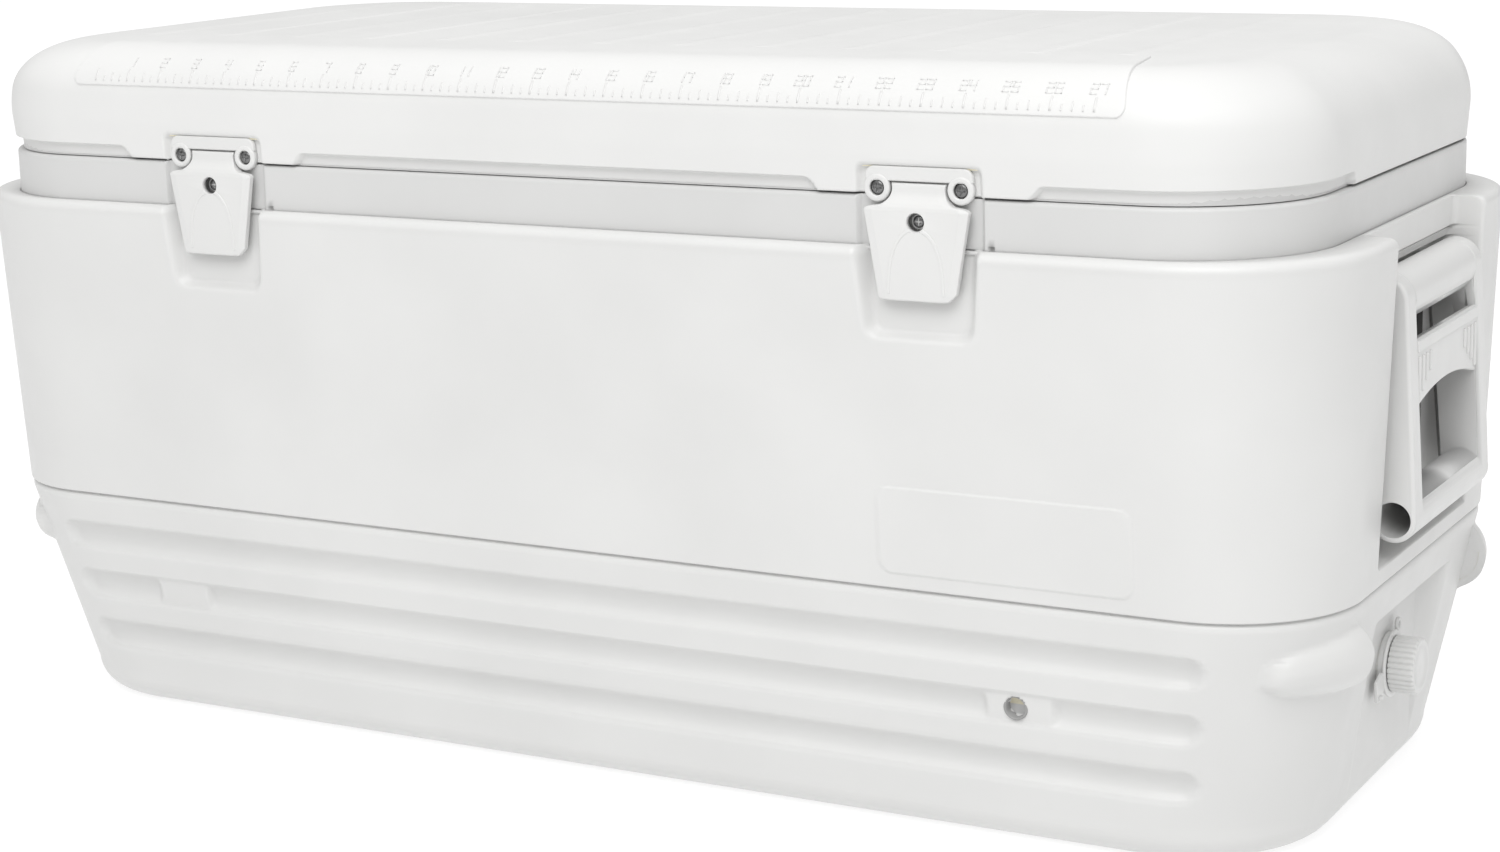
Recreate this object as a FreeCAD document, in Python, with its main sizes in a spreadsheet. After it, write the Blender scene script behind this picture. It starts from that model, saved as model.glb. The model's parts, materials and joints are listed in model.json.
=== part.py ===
import FreeCAD, Part
import Sketcher
import math
import os
from FreeCAD import Placement, Rotation, Vector

# A large insulated chest cooler: a double-walled base with a moulded tub, a hinged lid,
# two strap latches, two swing-up carrying handles and a screw-on drain cap.
# +X is the drain end, -Y the latch side, +Z up. The origin is the middle of the resting face.
# All lengths are in millimetres.

doc = FreeCAD.newDocument("cooler")
sheet = doc.addObject("Spreadsheet::Sheet", "Sizes")

SIZES = {
    # outer body: half lengths, half widths and corner radii at four levels
    "foot_length": 445.8, "foot_width": 172.0, "foot_corner": 92.0, "foot_round": 20.0,
    "belt_level": 151.0, "belt_length": 473.0, "belt_width": 198.0, "belt_corner": 80.0,
    "belt_depth": 2.2, "belt_gap": 2.4,
    "shoulder_level": 352.5, "shoulder_length": 481.5, "shoulder_width": 215.3,
    "shoulder_corner": 100.0, "shoulder_round": 5.0,
    "bumper_level": 118.0, "bumper_radius": 20.0, "bumper_proud": 11.0, "bumper_end": 122.0,
    "wall": 2.5,
    # rim band of the tub, and the tub itself
    "rim_level": 380.5, "rim_length": 457.0, "rim_width": 207.5, "rim_corner": 86.0,
    "tub_length": 434.0, "tub_width": 184.0, "tub_corner": 62.0, "tub_floor": 48.0,
    "tub_draft": 9.0, "tub_fillet": 24.0,
    # flutes across the front and back of the skirt, and the badge plate on the front
    "flute_radius": 10.6, "flute_offset": 5.4, "flute_high": 121.0, "flute_middle": 86.0,
    "flute_low": 50.0, "flute_span_high": 406.0, "flute_span_middle": 402.0, "flute_span_low": 398.0,
    "pad_half": 21.0, "pad_near": 294.0, "pad_far": -313.0, "vent_along": 292.0, "vent_radius": 5.0,
    "badge_start": 213.5, "badge_length": 156.0, "badge_low": 161.0, "badge_high": 214.0, "badge_proud": 0.9,
    # lid
    "lid_gap": 0.6, "lid_length": 458.5, "lid_width": 210.0,
    "lid_corner": 88.0, "lid_top": 452.0, "top_corner": 72.0, "lid_flare": 1.5,
    "end_round": 54.0, "end_drop": 46.0, "front_round": 38.0, "front_drop": 30.0,
    "back_round": 24.0, "back_drop": 17.0,
    "finger_height": 8.4, "finger_half": 180.0, "finger_start": 314.0, "finger_end": 95.0,
    "tray_inset": 6.0, "tray_height": 13.0, "tray_wall": 3.0, "plug_drop": 7.0, "plug_gap": 6.0,
    # latches
    "latch_offset": 245.9, "latch_hinge_level": 387.0, "ear_level": 385.0, "ear_offset": 25.5,
    "ear_radius": 7.6, "strap_top": 395.4, "strap_half": 28.0, "flap_bottom": 322.8,
    "flap_shoulder": 32.0, "flap_foot": 23.8, "flap_front": 213.6, "flap_thick": 4.6,
    "strap_plane": 205.3, "strap_thick": 3.2, "post_level": 367.0, "post_radius": 4.5,
    "pocket_half": 38.7, "pocket_foot_half": 32.6, "pocket_foot": 301.5, "pocket_plane": 204.6,
    "post_length": 6.6,
    # handles
    "recess_half": 88.0, "recess_back": 452.0, "recess_floor": 164.0, "ledge_level": 334.0,
    "ledge_back": 462.0, "pivot_out": 468.2, "pivot_level": 314.0, "barrel_radius": 15.7,
    "arm_half": 78.0, "arm_inner": 62.0, "arm_radius": 14.0, "grip_out": 477.4,
    "grip_level": 189.6, "grip_radius": 13.0, "grip_bore": 9.6, "panel_face": 484.6,
    "panel_thick": 5.0, "panel_top": 291.0, "panel_foot": 250.0, "panel_arch": 5.0,
    "pin_radius": 4.0, "pin_fit": 0.05,
    # drain
    "drain_level": 81.5, "drain_wall": 452.0, "cap_end": 474.0, "cap_radius": 17.0,
    "neck_radius": 13.0, "neck_relief": 1.9, "bore_radius": 8.5, "nut_radius": 14.5,
    "panel_half": 60.0, "panel_flare": 14.0, "panel_roof": 128.0,
    # hinges at the back
    "hinge_out": 214.0, "hinge_level": 381.3, "hinge_half": 30.0, "hinge_spread": 300.0,
    "knuckle_radius": 4.6, "leaf_thick": 2.6, "hinge_pin": 2.2,
    # screws that hold the straps, the posts and the hinge leaves
    "head_radius": 3.6, "head_height": 1.9, "shank_radius": 1.7, "shank_length": 9.0, "bore_fit": 0.05,
}


def fill_sheet():
    """Writes every size into the sheet under its own name."""
    for row, (name, value) in enumerate(SIZES.items(), start=1):
        sheet.set("A%d" % row, name)
        sheet.set("B%d" % row, str(value))
        sheet.setAlias("B%d" % row, name)
    doc.recompute()


def size(name):
    """One size as it stands in the sheet."""
    return float(sheet.get(name))


fill_sheet()


# ---------------------------------------------------------------- helpers for parametric solids

def bind(thing, **rules):
    """Binds properties such as Radius or Length to expressions on the sheet."""
    for key, rule in rules.items():
        thing.setExpression(key, rule)
    return thing


def at(thing, along, across, level, turn=None):
    """Places a primitive; each coordinate is an expression on the sheet."""
    rotation = Rotation(*turn) if turn else Rotation()
    thing.Placement = Placement(Vector(0, 0, 0), rotation)
    thing.setExpression("Placement.Base.x", along)
    thing.setExpression("Placement.Base.y", across)
    thing.setExpression("Placement.Base.z", level)
    return thing


FORWARD = (Vector(1, 0, 0), 90)    # turns a cylinder from +Z to -Y
BACKWARD = (Vector(1, 0, 0), -90)  # turns a cylinder from +Z to +Y
OUTWARD = (Vector(0, 1, 0), 90)    # turns a cylinder from +Z to +X
SCREW_SHIFTS = (-20, 0, 20)        # the screws of a hinge leaf, either side of its middle


def rod(name, radius, length, along, across, level, turn=None):
    """A cylinder whose radius, length and position are expressions."""
    thing = doc.addObject("Part::Cylinder", name)
    bind(thing, Radius=radius, Height=length)
    return at(thing, along, across, level, turn)


def block(name, length, width, height, along, across, level):
    """A box given by its three sides and its lowest corner."""
    thing = doc.addObject("Part::Box", name)
    bind(thing, Length=length, Width=width, Height=height)
    return at(thing, along, across, level)


def cut(name, base, tool):
    thing = doc.addObject("Part::Cut", name)
    thing.Base = base
    thing.Tool = tool
    return thing


def join(name, pieces):
    thing = doc.addObject("Part::MultiFuse", name)
    thing.Shapes = pieces
    return thing


def group(name, pieces):
    """Several identical solids that share one node."""
    thing = doc.addObject("Part::Compound", name)
    thing.Links = pieces
    return thing


def moulded(name, shape):
    """A moulded form that is lofted rather than built from primitives."""
    thing = doc.addObject("Part::Feature", name)
    thing.Shape = shape
    thing.Placement = Placement()
    return thing


def screw(name, along, across, level, turn, side):
    """A pan-head screw with a cross recess; side is +1 or -1, the way the head faces in Y."""
    head = rod(name + "_head", "Sizes.head_radius", "Sizes.head_height", along, across, level, turn)
    start = across + (" + 8.6" if side < 0 else " - 8.6")
    shank = rod(name + "_shank", "Sizes.shank_radius", "Sizes.shank_length", along, start, level, turn)
    body = join(name + "_blank", [head, shank])
    reach = " - 2.4" if side < 0 else " + 0.9"
    start = across + reach
    wide = block(name + "_slot_wide", "3.6", "1.5", "0.9", along + " - 1.8", start, level + " - 0.45")
    tall = block(name + "_slot_tall", "0.9", "1.5", "3.6", along + " - 0.45", start, level + " - 1.8")
    return cut(name, body, join(name + "_recess", [wide, tall]))


# ---------------------------------------------------------------- helpers for moulded forms

def outline(half_length, half_width, corner, level, shift=0.0):
    """A rounded rectangle in the horizontal plane at the given level, moved across by the shift."""
    a = half_length
    b = half_width
    r = corner
    k = r * math.sqrt(0.5)
    edges = []
    for sx, sy in ((1, -1), (1, 1), (-1, 1), (-1, -1)):
        centre = Vector(sx * (a - r), shift + sy * (b - r), level)
        first = Vector(sx * r, 0, 0) if sx == sy else Vector(0, sy * r, 0)
        last = Vector(0, sy * r, 0) if sx == sy else Vector(sx * r, 0, 0)
        middle = Vector(sx * k, sy * k, 0)
        edges.append(Part.Arc(centre + first, centre + middle, centre + last).toShape())
    ring = []
    for index, arc in enumerate(edges):
        following = edges[(index + 1) % 4]
        ring.append(arc)
        ring.append(Part.makeLine(arc.Vertexes[-1].Point, following.Vertexes[0].Point))
    return Part.Wire(ring)


def stack(sections):
    """A ruled solid through rounded outlines given as (half length, half width, corner, level)."""
    return Part.makeLoft([outline(*section) for section in sections], True, True)


def edges_at(shape, level, slack=0.2):
    """The edges lying flat at one level."""
    return [edge for edge in shape.Edges
            if abs(edge.BoundBox.ZMin - level) < slack and abs(edge.BoundBox.ZMax - level) < slack]


def slab(x0, x1, y0, y1, z0, z1):
    """An upright box between two opposite corners."""
    return Part.makeBox(x1 - x0, y1 - y0, z1 - z0, Vector(x0, y0, z0))


def prism(points, direction):
    """A straight-sided solid swept from a flat polygon."""
    corners = [Vector(*point) for point in points]
    return Part.Face(Part.makePolygon(corners + corners[:1])).extrude(Vector(*direction))


def both_ends(shape):
    """A shape and its mirror image at the other end."""
    return [shape, shape.mirror(Vector(0, 0, 0), Vector(1, 0, 0))]


def bore(along, across, level):
    """A clearance hole along Y for one screw shank, centred on the wall it passes through."""
    radius = size("shank_radius") + size("bore_fit")
    return Part.makeCylinder(radius, 14, Vector(along, across - 7, level), Vector(0, 1, 0))


def base_bores():
    """Holes for the screws of the latch posts and of the lower hinge leaves."""
    holes = []
    for side in (-1, 1):
        holes.append(bore(side * size("latch_offset"), -size("pocket_plane"), size("post_level")))
    for step in (-1, 0, 1):
        for shift in SCREW_SHIFTS:
            along = step * size("hinge_spread") + shift
            holes.append(bore(along, size("rim_width"), size("shoulder_level") + 11))
    return holes


def lid_bores():
    """Holes for the screws of the latch straps and of the upper hinge leaves."""
    holes = []
    for side in (-1, 1):
        for ear in (-1, 1):
            along = side * size("latch_offset") + ear * size("ear_offset")
            holes.append(bore(along, -size("strap_plane"), size("ear_level")))
    for step in (-1, 0, 1):
        for shift in SCREW_SHIFTS:
            along = step * size("hinge_spread") + shift
            holes.append(bore(along, size("rim_width"), size("hinge_level") + 13.2))
    return holes


# ---------------------------------------------------------------- body of the chest

def belt_half(level):
    """Half length and half width of the skirt or the upper body at one level."""
    if level <= size("belt_level"):
        low = (size("foot_length"), size("foot_width"), 0.0)
        high = (size("belt_length"), size("belt_width"), size("belt_level"))
    else:
        low = (size("belt_length"), size("belt_width"), size("belt_level"))
        high = (size("shoulder_length"), size("shoulder_width"), size("shoulder_level"))
    share = (level - low[2]) / (high[2] - low[2])
    return low[0] + share * (high[0] - low[0]), low[1] + share * (high[1] - low[1])


def body_blank(inset):
    """The solid outside form of the body, drawn in by the inset on every side."""
    belt = size("belt_level")
    gap = size("belt_gap")
    pinch = size("belt_depth")
    top = size("shoulder_level") - inset
    sections = [(size("foot_length") - inset, size("foot_width") - inset, size("foot_corner") - inset, inset)]
    for level, narrow in ((belt - gap, 0), (belt, pinch), (belt + gap, 0)):
        half_length, half_width = belt_half(level)
        loss = inset + narrow
        sections.append((half_length - loss, half_width - loss, size("belt_corner") - loss, level))
    sections.append((size("shoulder_length") - inset, size("shoulder_width") - inset,
                     size("shoulder_corner") - inset, top))
    form = stack(sections)
    form = form.makeFillet(size("foot_round") - inset, edges_at(form, inset))
    return form.makeFillet(size("shoulder_round") - inset / 2, edges_at(form, top))


def handle_recess(grow):
    """The pocket in the right-hand end that the handle hangs in."""
    half = size("recess_half") + grow
    top = size("shoulder_level") + 10
    floor = size("recess_floor") - grow
    back = size("recess_back") - grow
    lower = prism([(back, -half, floor + 6), (back + 60, -half, floor - 14),
                   (back + 60, -half, top), (back, -half, top)], (0, 2 * half, 0))
    sill = slab(back - 1, size("ledge_back") - grow, -half - 1, half + 1, size("ledge_level") + grow, top + 1)
    return lower.cut(sill)


def drain_recess(grow):
    """The upright panel low in the right-hand end that carries the drain."""
    half = size("panel_half") + grow
    flare = half + size("panel_flare")
    back = size("drain_wall") - grow
    out = back + size("panel_flare")
    low = 2.0
    points = [(back, -half, low), (out, -flare, low), (out, flare, low), (back, half, low)]
    return prism(points, (0, 0, size("panel_roof") - low + grow))


def latch_pocket(centre, grow):
    """The tapering pocket below one latch."""
    front = -size("shoulder_width") - 5
    plane = -size("pocket_plane") + grow
    top = size("shoulder_level") + 5
    wide = size("pocket_half") + grow
    narrow = size("pocket_foot_half") + grow
    foot = size("pocket_foot") - grow
    points = [(centre - narrow, front, foot), (centre + narrow, front, foot),
              (centre + wide, front, top), (centre - wide, front, top)]
    pocket = prism(points, (0, plane - front, 0))
    upright = [edge for edge in pocket.Edges
               if edge.BoundBox.ZLength < 0.1 and edge.BoundBox.XLength < 0.1
               and abs(edge.BoundBox.ZMin - foot) < 0.1]
    return pocket.makeFillet(7, upright)


def flute(level, half_span, grow):
    """One long shallow flute with rounded ends, across the front or the back of the skirt."""
    radius = size("flute_radius") + grow
    centre = belt_half(level)[1] + size("flute_offset")
    reach = half_span - size("flute_radius") + 2 * grow
    bar = Part.makeCylinder(radius, 2 * reach, Vector(-reach, -centre, level), Vector(1, 0, 0))
    for end in (-reach, reach):
        bar = bar.fuse(Part.makeSphere(radius, Vector(end, -centre, level)))
    return bar


def bumper():
    """A teardrop bumper that grows round the corner and is cut off square at the end recess."""
    level = size("bumper_level")
    half_length, half_width = belt_half(level)
    corner = size("belt_corner") + 3
    middle = Vector(half_length - corner, corner - half_width, level)
    rings = []
    for step in range(7):
        share = step / 6
        turn = math.radians(54 * (1 - share) - 2)
        radius = 2.5 + (size("bumper_radius") - 2.5) * share
        reach = corner + size("bumper_proud") * share - radius
        away = Vector(math.cos(turn), -math.sin(turn), 0)
        along = Vector(math.sin(turn), math.cos(turn), 0)
        rings.append(Part.Wire(Part.makeCircle(radius, middle + away * reach, along)))
    lobe = Part.makeLoft(rings, True, False)
    return lobe.cut(slab(380, 520, -size("bumper_end"), 0, 60, 180))


def body_form(inset):
    """The finished outside form of the body: blank, recesses, pockets, flutes and bumpers."""
    form = body_blank(inset)
    tools = both_ends(handle_recess(inset))
    tools += both_ends(drain_recess(inset))
    for side in (-1, 1):
        tools.append(latch_pocket(side * size("latch_offset"), inset))
    for row in ("high", "middle", "low"):
        front = flute(size("flute_" + row), size("flute_span_" + row), inset)
        tools.append(front)
        tools.append(front.mirror(Vector(0, 0, 0), Vector(0, 1, 0)))
    form = form.cut(tools)
    if inset == 0:
        form = form.fuse(outer_extras())
    return form.removeSplitter()


def outer_extras():
    """Bumpers, the blank badge, the pads in the flutes and the pivot bosses of the handles."""
    extras = []
    for lobe in both_ends(bumper()):
        extras.append(lobe)
        extras.append(lobe.mirror(Vector(0, 0, 0), Vector(0, 1, 0)))
    start, low, high, proud = [size("badge_" + key) for key in ("start", "low", "high", "proud")]
    y_low = -belt_half(low)[1]
    y_high = -belt_half(high)[1]
    badge = prism([(start, y_low + 2, low), (start, y_low - proud, low),
                   (start, y_high - proud, high), (start, y_high + 2, high)], (size("badge_length"), 0, 0))
    corners = [edge for edge in badge.Edges if edge.BoundBox.XLength < 0.1 and edge.BoundBox.ZLength < 2]
    extras.append(badge.makeFillet(8, corners))
    middle = size("flute_middle")
    y_pad = -belt_half(middle)[1]
    for centre in (size("pad_far"), size("pad_near")):
        extras.append(slab(centre - size("pad_half"), centre + size("pad_half"), y_pad + 0.8, y_pad + 9,
                           middle - 11, middle + 11))
    for end in (-1, 1):
        for side in (-1, 1):
            start = Vector(end * size("pivot_out"), side * (size("arm_half") + 0.6), size("pivot_level"))
            reach = size("recess_half") + 3 - size("arm_half")
            extras.append(Part.makeCylinder(11, reach, start, Vector(0, side, 0)))
    return extras


def tub_form(grow):
    """The space inside the tub, or its outside when grown by the wall."""
    draft = size("tub_draft")
    floor = size("tub_floor") - grow
    top = [size("tub_" + key) + grow for key in ("length", "width", "corner")]
    low = [value - draft for value in top]
    space = stack([(*low, floor), (*top, size("rim_level") + 0.01)])
    return space.makeFillet(size("tub_fillet") + grow, edges_at(space, floor))


def drain_hole(radius):
    """The bore for the drain, from inside the tub to the outside."""
    return Part.makeCylinder(radius, 70, Vector(410, 0, size("drain_level")), Vector(1, 0, 0))


def pin_hole(radius):
    """Bores for both handle pins."""
    holes = []
    for end in (-1, 1):
        start = Vector(end * size("pivot_out"), -size("recess_half") - 2, size("pivot_level"))
        holes.append(Part.makeCylinder(radius, 2 * size("recess_half") + 4, start, Vector(0, 1, 0)))
    return holes


outer = body_form(0)
hollow = body_form(size("wall"))
mouth_size = [size("rim_" + key) - 8 for key in ("length", "width", "corner")]
mouth = stack([(*mouth_size, size("shoulder_level") - 6), (*mouth_size, size("shoulder_level") + 6)])
vent_start = Vector(size("vent_along"), -190, size("flute_middle"))
vent = Part.makeCylinder(size("vent_radius"), 14, vent_start, Vector(0, 1, 0))
shell = outer.cut([hollow, mouth, drain_hole(size("neck_radius") + 0.2), vent] + pin_hole(size("pin_radius")))
shell = moulded("body_shell", max(shell.Solids, key=lambda solid: solid.Volume))

rim_low = size("shoulder_level")
rim_top = size("rim_level")


def ring_section(loss, level):
    return (size("rim_length") - loss, size("rim_width") - loss, size("rim_corner") - loss, level)


band = stack([ring_section(0, rim_low), ring_section(0, rim_top)])
band = band.makeFillet(2.0, edges_at(band, rim_top))
wall = size("wall")
band_space = stack([ring_section(wall, rim_low - 1), ring_section(wall, rim_top - wall)])
tub_outside = tub_form(wall)
liner = band.cut(band_space).fuse(tub_outside).cut(tub_form(0))
channels = []
backings = []
for side in (-1, 1):
    middle = side * size("latch_offset")
    half = size("pocket_half")
    plane = -size("pocket_plane")
    outside = -size("rim_width") - 2
    channels.append(slab(middle - half, middle + half, outside, plane, rim_low - 1, rim_top + 1))
    backings.append(slab(middle - half - 3, middle + half + 3, plane, plane + wall, rim_low, rim_top - 1))
nut_hole = drain_hole(size("neck_radius") - size("neck_relief"))
liner = liner.fuse(backings).cut(channels + base_bores() + [nut_hole]).removeSplitter()
moulded("tub_liner", liner)

spout_hole = drain_hole(size("neck_radius") + 0.2)
foam = hollow.fuse(band_space).cut([tub_outside, spout_hole] + channels + pin_hole(size("pin_radius") + 4))
foam = foam.cut(shell.Shape).cut(liner).cut(base_bores())
moulded("body_foam", max(foam.Solids, key=lambda solid: solid.Volume))


# ---------------------------------------------------------------- lid

ROUNDING_DEPTHS = (46.0, 38.0, 30.0, 23.0, 17.0, 13.0, 9.0, 6.0, 3.6, 1.8, 0.6, 0.0)


def drawn_in(depth, across, down):
    """How far an elliptical rounding has drawn in at a given depth below the top."""
    rise = max(0.0, 1 - depth / down)
    return across * (1 - math.sqrt(1 - rise * rise))


def lid_form(inset):
    """The solid outside form of the lid, rounded most at its ends and least along its back."""
    low = size("rim_level") + size("lid_gap")
    top = size("lid_top") - inset
    flare = size("lid_flare") + inset
    half_length, half_width, corner = [size("lid_" + key) for key in ("length", "width", "corner")]
    sections = [(half_length - flare, half_width - flare, corner - flare, low)]
    deepest = size("end_drop")
    for depth in ROUNDING_DEPTHS:
        along = inset + drawn_in(depth, size("end_round") - inset, deepest - inset)
        front = inset + drawn_in(depth, size("front_round") - inset, size("front_drop") - inset)
        back = inset + drawn_in(depth, size("back_round") - inset, size("back_drop") - inset)
        height = max(0.0, 1 - depth / deepest)
        radius = corner - inset - (corner - size("top_corner")) * height * height
        across = (front + back) / 2
        sections.append((half_length - along, half_width - across, radius, top - depth, (front - back) / 2))
    return stack(sections)


lid_low = size("rim_level") + size("lid_gap")
tray_top = lid_low + size("tray_height")
shell_tools = [lid_form(size("wall"))]
for side in (-1, 1):
    middle = side * size("latch_offset")
    half = size("pocket_half")
    shell_tools.append(slab(middle - half, middle + half, -size("lid_width") - 3, -size("strap_plane") + 0.1,
                            lid_low - 1, size("strap_top") + 1))
for step in (-1, 0, 1):
    middle = step * size("hinge_spread")
    shell_tools.append(slab(middle - size("hinge_half") - 3, middle + size("hinge_half") + 3,
                            size("rim_width") - 0.6, size("lid_width") + 3, lid_low - 1, lid_low + 22))
finger_tops = lid_low + size("finger_height")
shell_tools.append(slab(-size("finger_half"), size("finger_half"), -size("lid_width") - 3,
                        -size("lid_width") + 20, lid_low - 1, finger_tops))
corner_cut = slab(size("finger_start"), size("lid_length") + 3, -size("lid_width") - 3, -size("finger_end"),
                  lid_low - 1, finger_tops)
shell_tools += both_ends(corner_cut)
lid_shell = lid_form(0).cut(shell_tools)
pads = []
for side in (-1, 1):
    middle = side * size("latch_offset")
    half = size("pocket_half") + 2.5
    pads.append(slab(middle - half, middle + half, -size("strap_plane") + 0.1, -size("strap_plane") + 2.6,
                     lid_low, size("strap_top") + 3.5))
for step in (-1, 0, 1):
    middle = step * size("hinge_spread")
    pads.append(slab(middle - size("hinge_half") - 5.5, middle + size("hinge_half") + 5.5,
                     size("rim_width") - 3.1, size("rim_width") - 0.6, lid_low, lid_low + 24.5))
lid_shell = lid_shell.fuse(pads).cut(lid_bores()).removeSplitter()
moulded("lid_shell", max(lid_shell.Solids, key=lambda solid: solid.Volume))


def tray_section(loss, level):
    inset = size("tray_inset") + loss
    return (size("lid_length") - inset, size("lid_width") - inset, size("lid_corner") - inset, level)


def plug_section(loss, level):
    inset = size("plug_gap") + loss
    return (size("tub_length") - inset, size("tub_width") - inset, size("tub_corner") - inset, level)


tray = stack([tray_section(0, lid_low), tray_section(0, tray_top)])
plug = stack([plug_section(2, lid_low - size("plug_drop")), plug_section(0, lid_low + 3)])
plug = plug.makeFillet(4, edges_at(plug, lid_low - size("plug_drop")))
thick = size("tray_wall")
tray_space = stack([tray_section(thick, lid_low + thick), tray_section(thick, tray_top + 1)])
plug_space = stack([plug_section(thick + 2, lid_low + thick - size("plug_drop")),
                    plug_section(thick, lid_low + thick + 0.01)])
tray_body = tray.fuse(plug).cut(tray_space).cut(plug_space).cut(shell_tools[1:6] + pads + lid_bores())
tray_body = tray_body.cut(lid_shell).removeSplitter()
tray_body = max(tray_body.Solids, key=lambda solid: solid.Volume)
moulded("lid_liner", tray_body)
above = slab(-500, 500, -300, 300, tray_top, size("lid_top"))
lid_foam = lid_form(size("wall")).common(above).fuse([tray_space, plug_space])
lid_foam = lid_foam.cut([lid_shell] + pads + shell_tools[1:] + lid_bores()).cut(tray_body)
moulded("lid_foam", max(lid_foam.Solids, key=lambda solid: solid.Volume))


# ---------------------------------------------------------------- sketches for the small parts

def body_with_plane(name, role):
    """A new parametric body and one of its own origin planes."""
    body = doc.addObject("PartDesign::Body", name)
    plane = [item for item in body.Origin.OriginFeatures if item.Role == role][0]
    return body, plane


def sketch(body, plane, name, offset=0.0):
    drawing = body.newObject("Sketcher::SketchObject", name)
    drawing.AttachmentSupport = [(plane, "")]
    drawing.MapMode = "FlatFace"
    drawing.AttachmentOffset = Placement(Vector(0, 0, offset), Rotation())
    return drawing


def loop(drawing, points):
    """A closed run of straight lines."""
    first = drawing.GeometryCount
    count = len(points)
    for index in range(count):
        start = Vector(points[index][0], points[index][1], 0)
        end = Vector(points[(index + 1) % count][0], points[(index + 1) % count][1], 0)
        drawing.addGeometry(Part.LineSegment(start, end), False)
    for index in range(count):
        following = first + (index + 1) % count
        drawing.addConstraint(Sketcher.Constraint("Coincident", first + index, 2, following, 1))
    return first


def ring(drawing, centre, radius, rule=None):
    """A circle, with its radius bound to the sheet when a rule is given."""
    index = drawing.addGeometry(Part.Circle(Vector(centre[0], centre[1], 0), Vector(0, 0, 1), radius), False)
    spot = drawing.addConstraint(Sketcher.Constraint("Radius", index, radius))
    if rule:
        drawing.setExpression("Constraints[%d]" % spot, rule)
    return index


def pad(body, drawing, length, midplane=False, rule=None):
    feature = body.newObject("PartDesign::Pad", drawing.Name + "_pad")
    feature.Profile = drawing
    feature.Length = length
    feature.Midplane = midplane
    if rule:
        feature.setExpression("Length", rule)
    drawing.Visibility = False
    return feature


def pocket(body, drawing, length, midplane=False, rule=None):
    feature = body.newObject("PartDesign::Pocket", drawing.Name + "_pocket")
    feature.Profile = drawing
    feature.Length = length
    feature.Midplane = midplane
    if rule:
        feature.setExpression("Length", rule)
    return feature


# ---------------------------------------------------------------- latches

def latch_strap(name, side):
    """The fixed top of a latch: a strip with an ear round each screw."""
    body, plane = body_with_plane(name, "XZ_Plane")
    middle = side * size("latch_offset")
    hinge = size("latch_hinge_level") + 2.5
    top = size("strap_top")
    half = size("strap_half")
    strip = sketch(body, plane, name + "_strip", size("strap_plane"))
    loop(strip, [(middle - half - 5, hinge), (middle + half + 5, hinge), (middle + half + 5, top - 5),
                 (middle + half, top), (middle - half, top), (middle - half - 5, top - 5)])
    pad(body, strip, size("strap_thick"), rule="Sizes.strap_thick")
    for label, direction in (("_ear_near", -1), ("_ear_far", 1)):
        ear = sketch(body, plane, name + label, size("strap_plane"))
        centre = (middle + direction * size("ear_offset"), size("ear_level"))
        ring(ear, centre, size("ear_radius"), "Sizes.ear_radius")
        pad(body, ear, size("strap_thick"), rule="Sizes.strap_thick")
    holes = sketch(body, plane, name + "_holes", size("strap_plane") + size("strap_thick"))
    for direction in (-1, 1):
        ring(holes, (middle + direction * size("ear_offset"), size("ear_level")), 1.75)
    pocket(body, holes, 2 * size("strap_thick"))
    return body


def latch_flap(name, side):
    """The swinging lower part of a latch, with the hole that snaps over the post."""
    body, plane = body_with_plane(name, "XZ_Plane")
    middle = side * size("latch_offset")
    knee = size("ear_level") - size("ear_radius") - 1.2
    back = size("flap_front") - size("flap_thick")
    shoulder = size("flap_shoulder")
    foot = size("flap_foot")
    low = size("flap_bottom")
    face = sketch(body, plane, name + "_face", back)
    loop(face, [(middle - foot + 4, low), (middle + foot - 4, low), (middle + foot, low + 4),
                (middle + shoulder - 5, knee - 26), (middle + shoulder, knee - 3),
                (middle + shoulder - 3, knee), (middle - shoulder + 3, knee), (middle - shoulder, knee - 3),
                (middle - shoulder + 5, knee - 26), (middle - foot, low + 4)])
    pad(body, face, size("flap_thick"), rule="Sizes.flap_thick")
    tongue = sketch(body, plane, name + "_tongue", size("strap_plane") + 0.2)
    half = size("ear_offset") - size("ear_radius") - 1.1
    loop(tongue, [(middle - half, knee - 1.8), (middle + half, knee - 1.8),
                  (middle + half, size("latch_hinge_level")), (middle - half, size("latch_hinge_level"))])
    pad(body, tongue, 3.4)
    step = sketch(body, plane, name + "_step", back - 1.5)
    loop(step, [(middle - half, knee - 4), (middle + half, knee - 4),
                (middle + half, knee + 3), (middle - half, knee + 3)])
    pad(body, step, 3.4)
    hole = sketch(body, plane, name + "_hole", size("flap_front"))
    ring(hole, (middle, size("post_level")), size("post_radius") + 0.7, "Sizes.post_radius + 0.7")
    pocket(body, hole, 12)
    side_plane = [item for item in body.Origin.OriginFeatures if item.Role == "YZ_Plane"][0]
    knuckle = sketch(body, side_plane, name + "_knuckle", middle)
    ring(knuckle, (-size("strap_plane") - 1.9, size("latch_hinge_level")), 1.7)
    pad(body, knuckle, 2 * half, midplane=True)
    return body


for label, side in (("left", -1), ("right", 1)):
    latch_strap("latch_strap_" + label, side)
    latch_flap("latch_flap_" + label, side)

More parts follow.
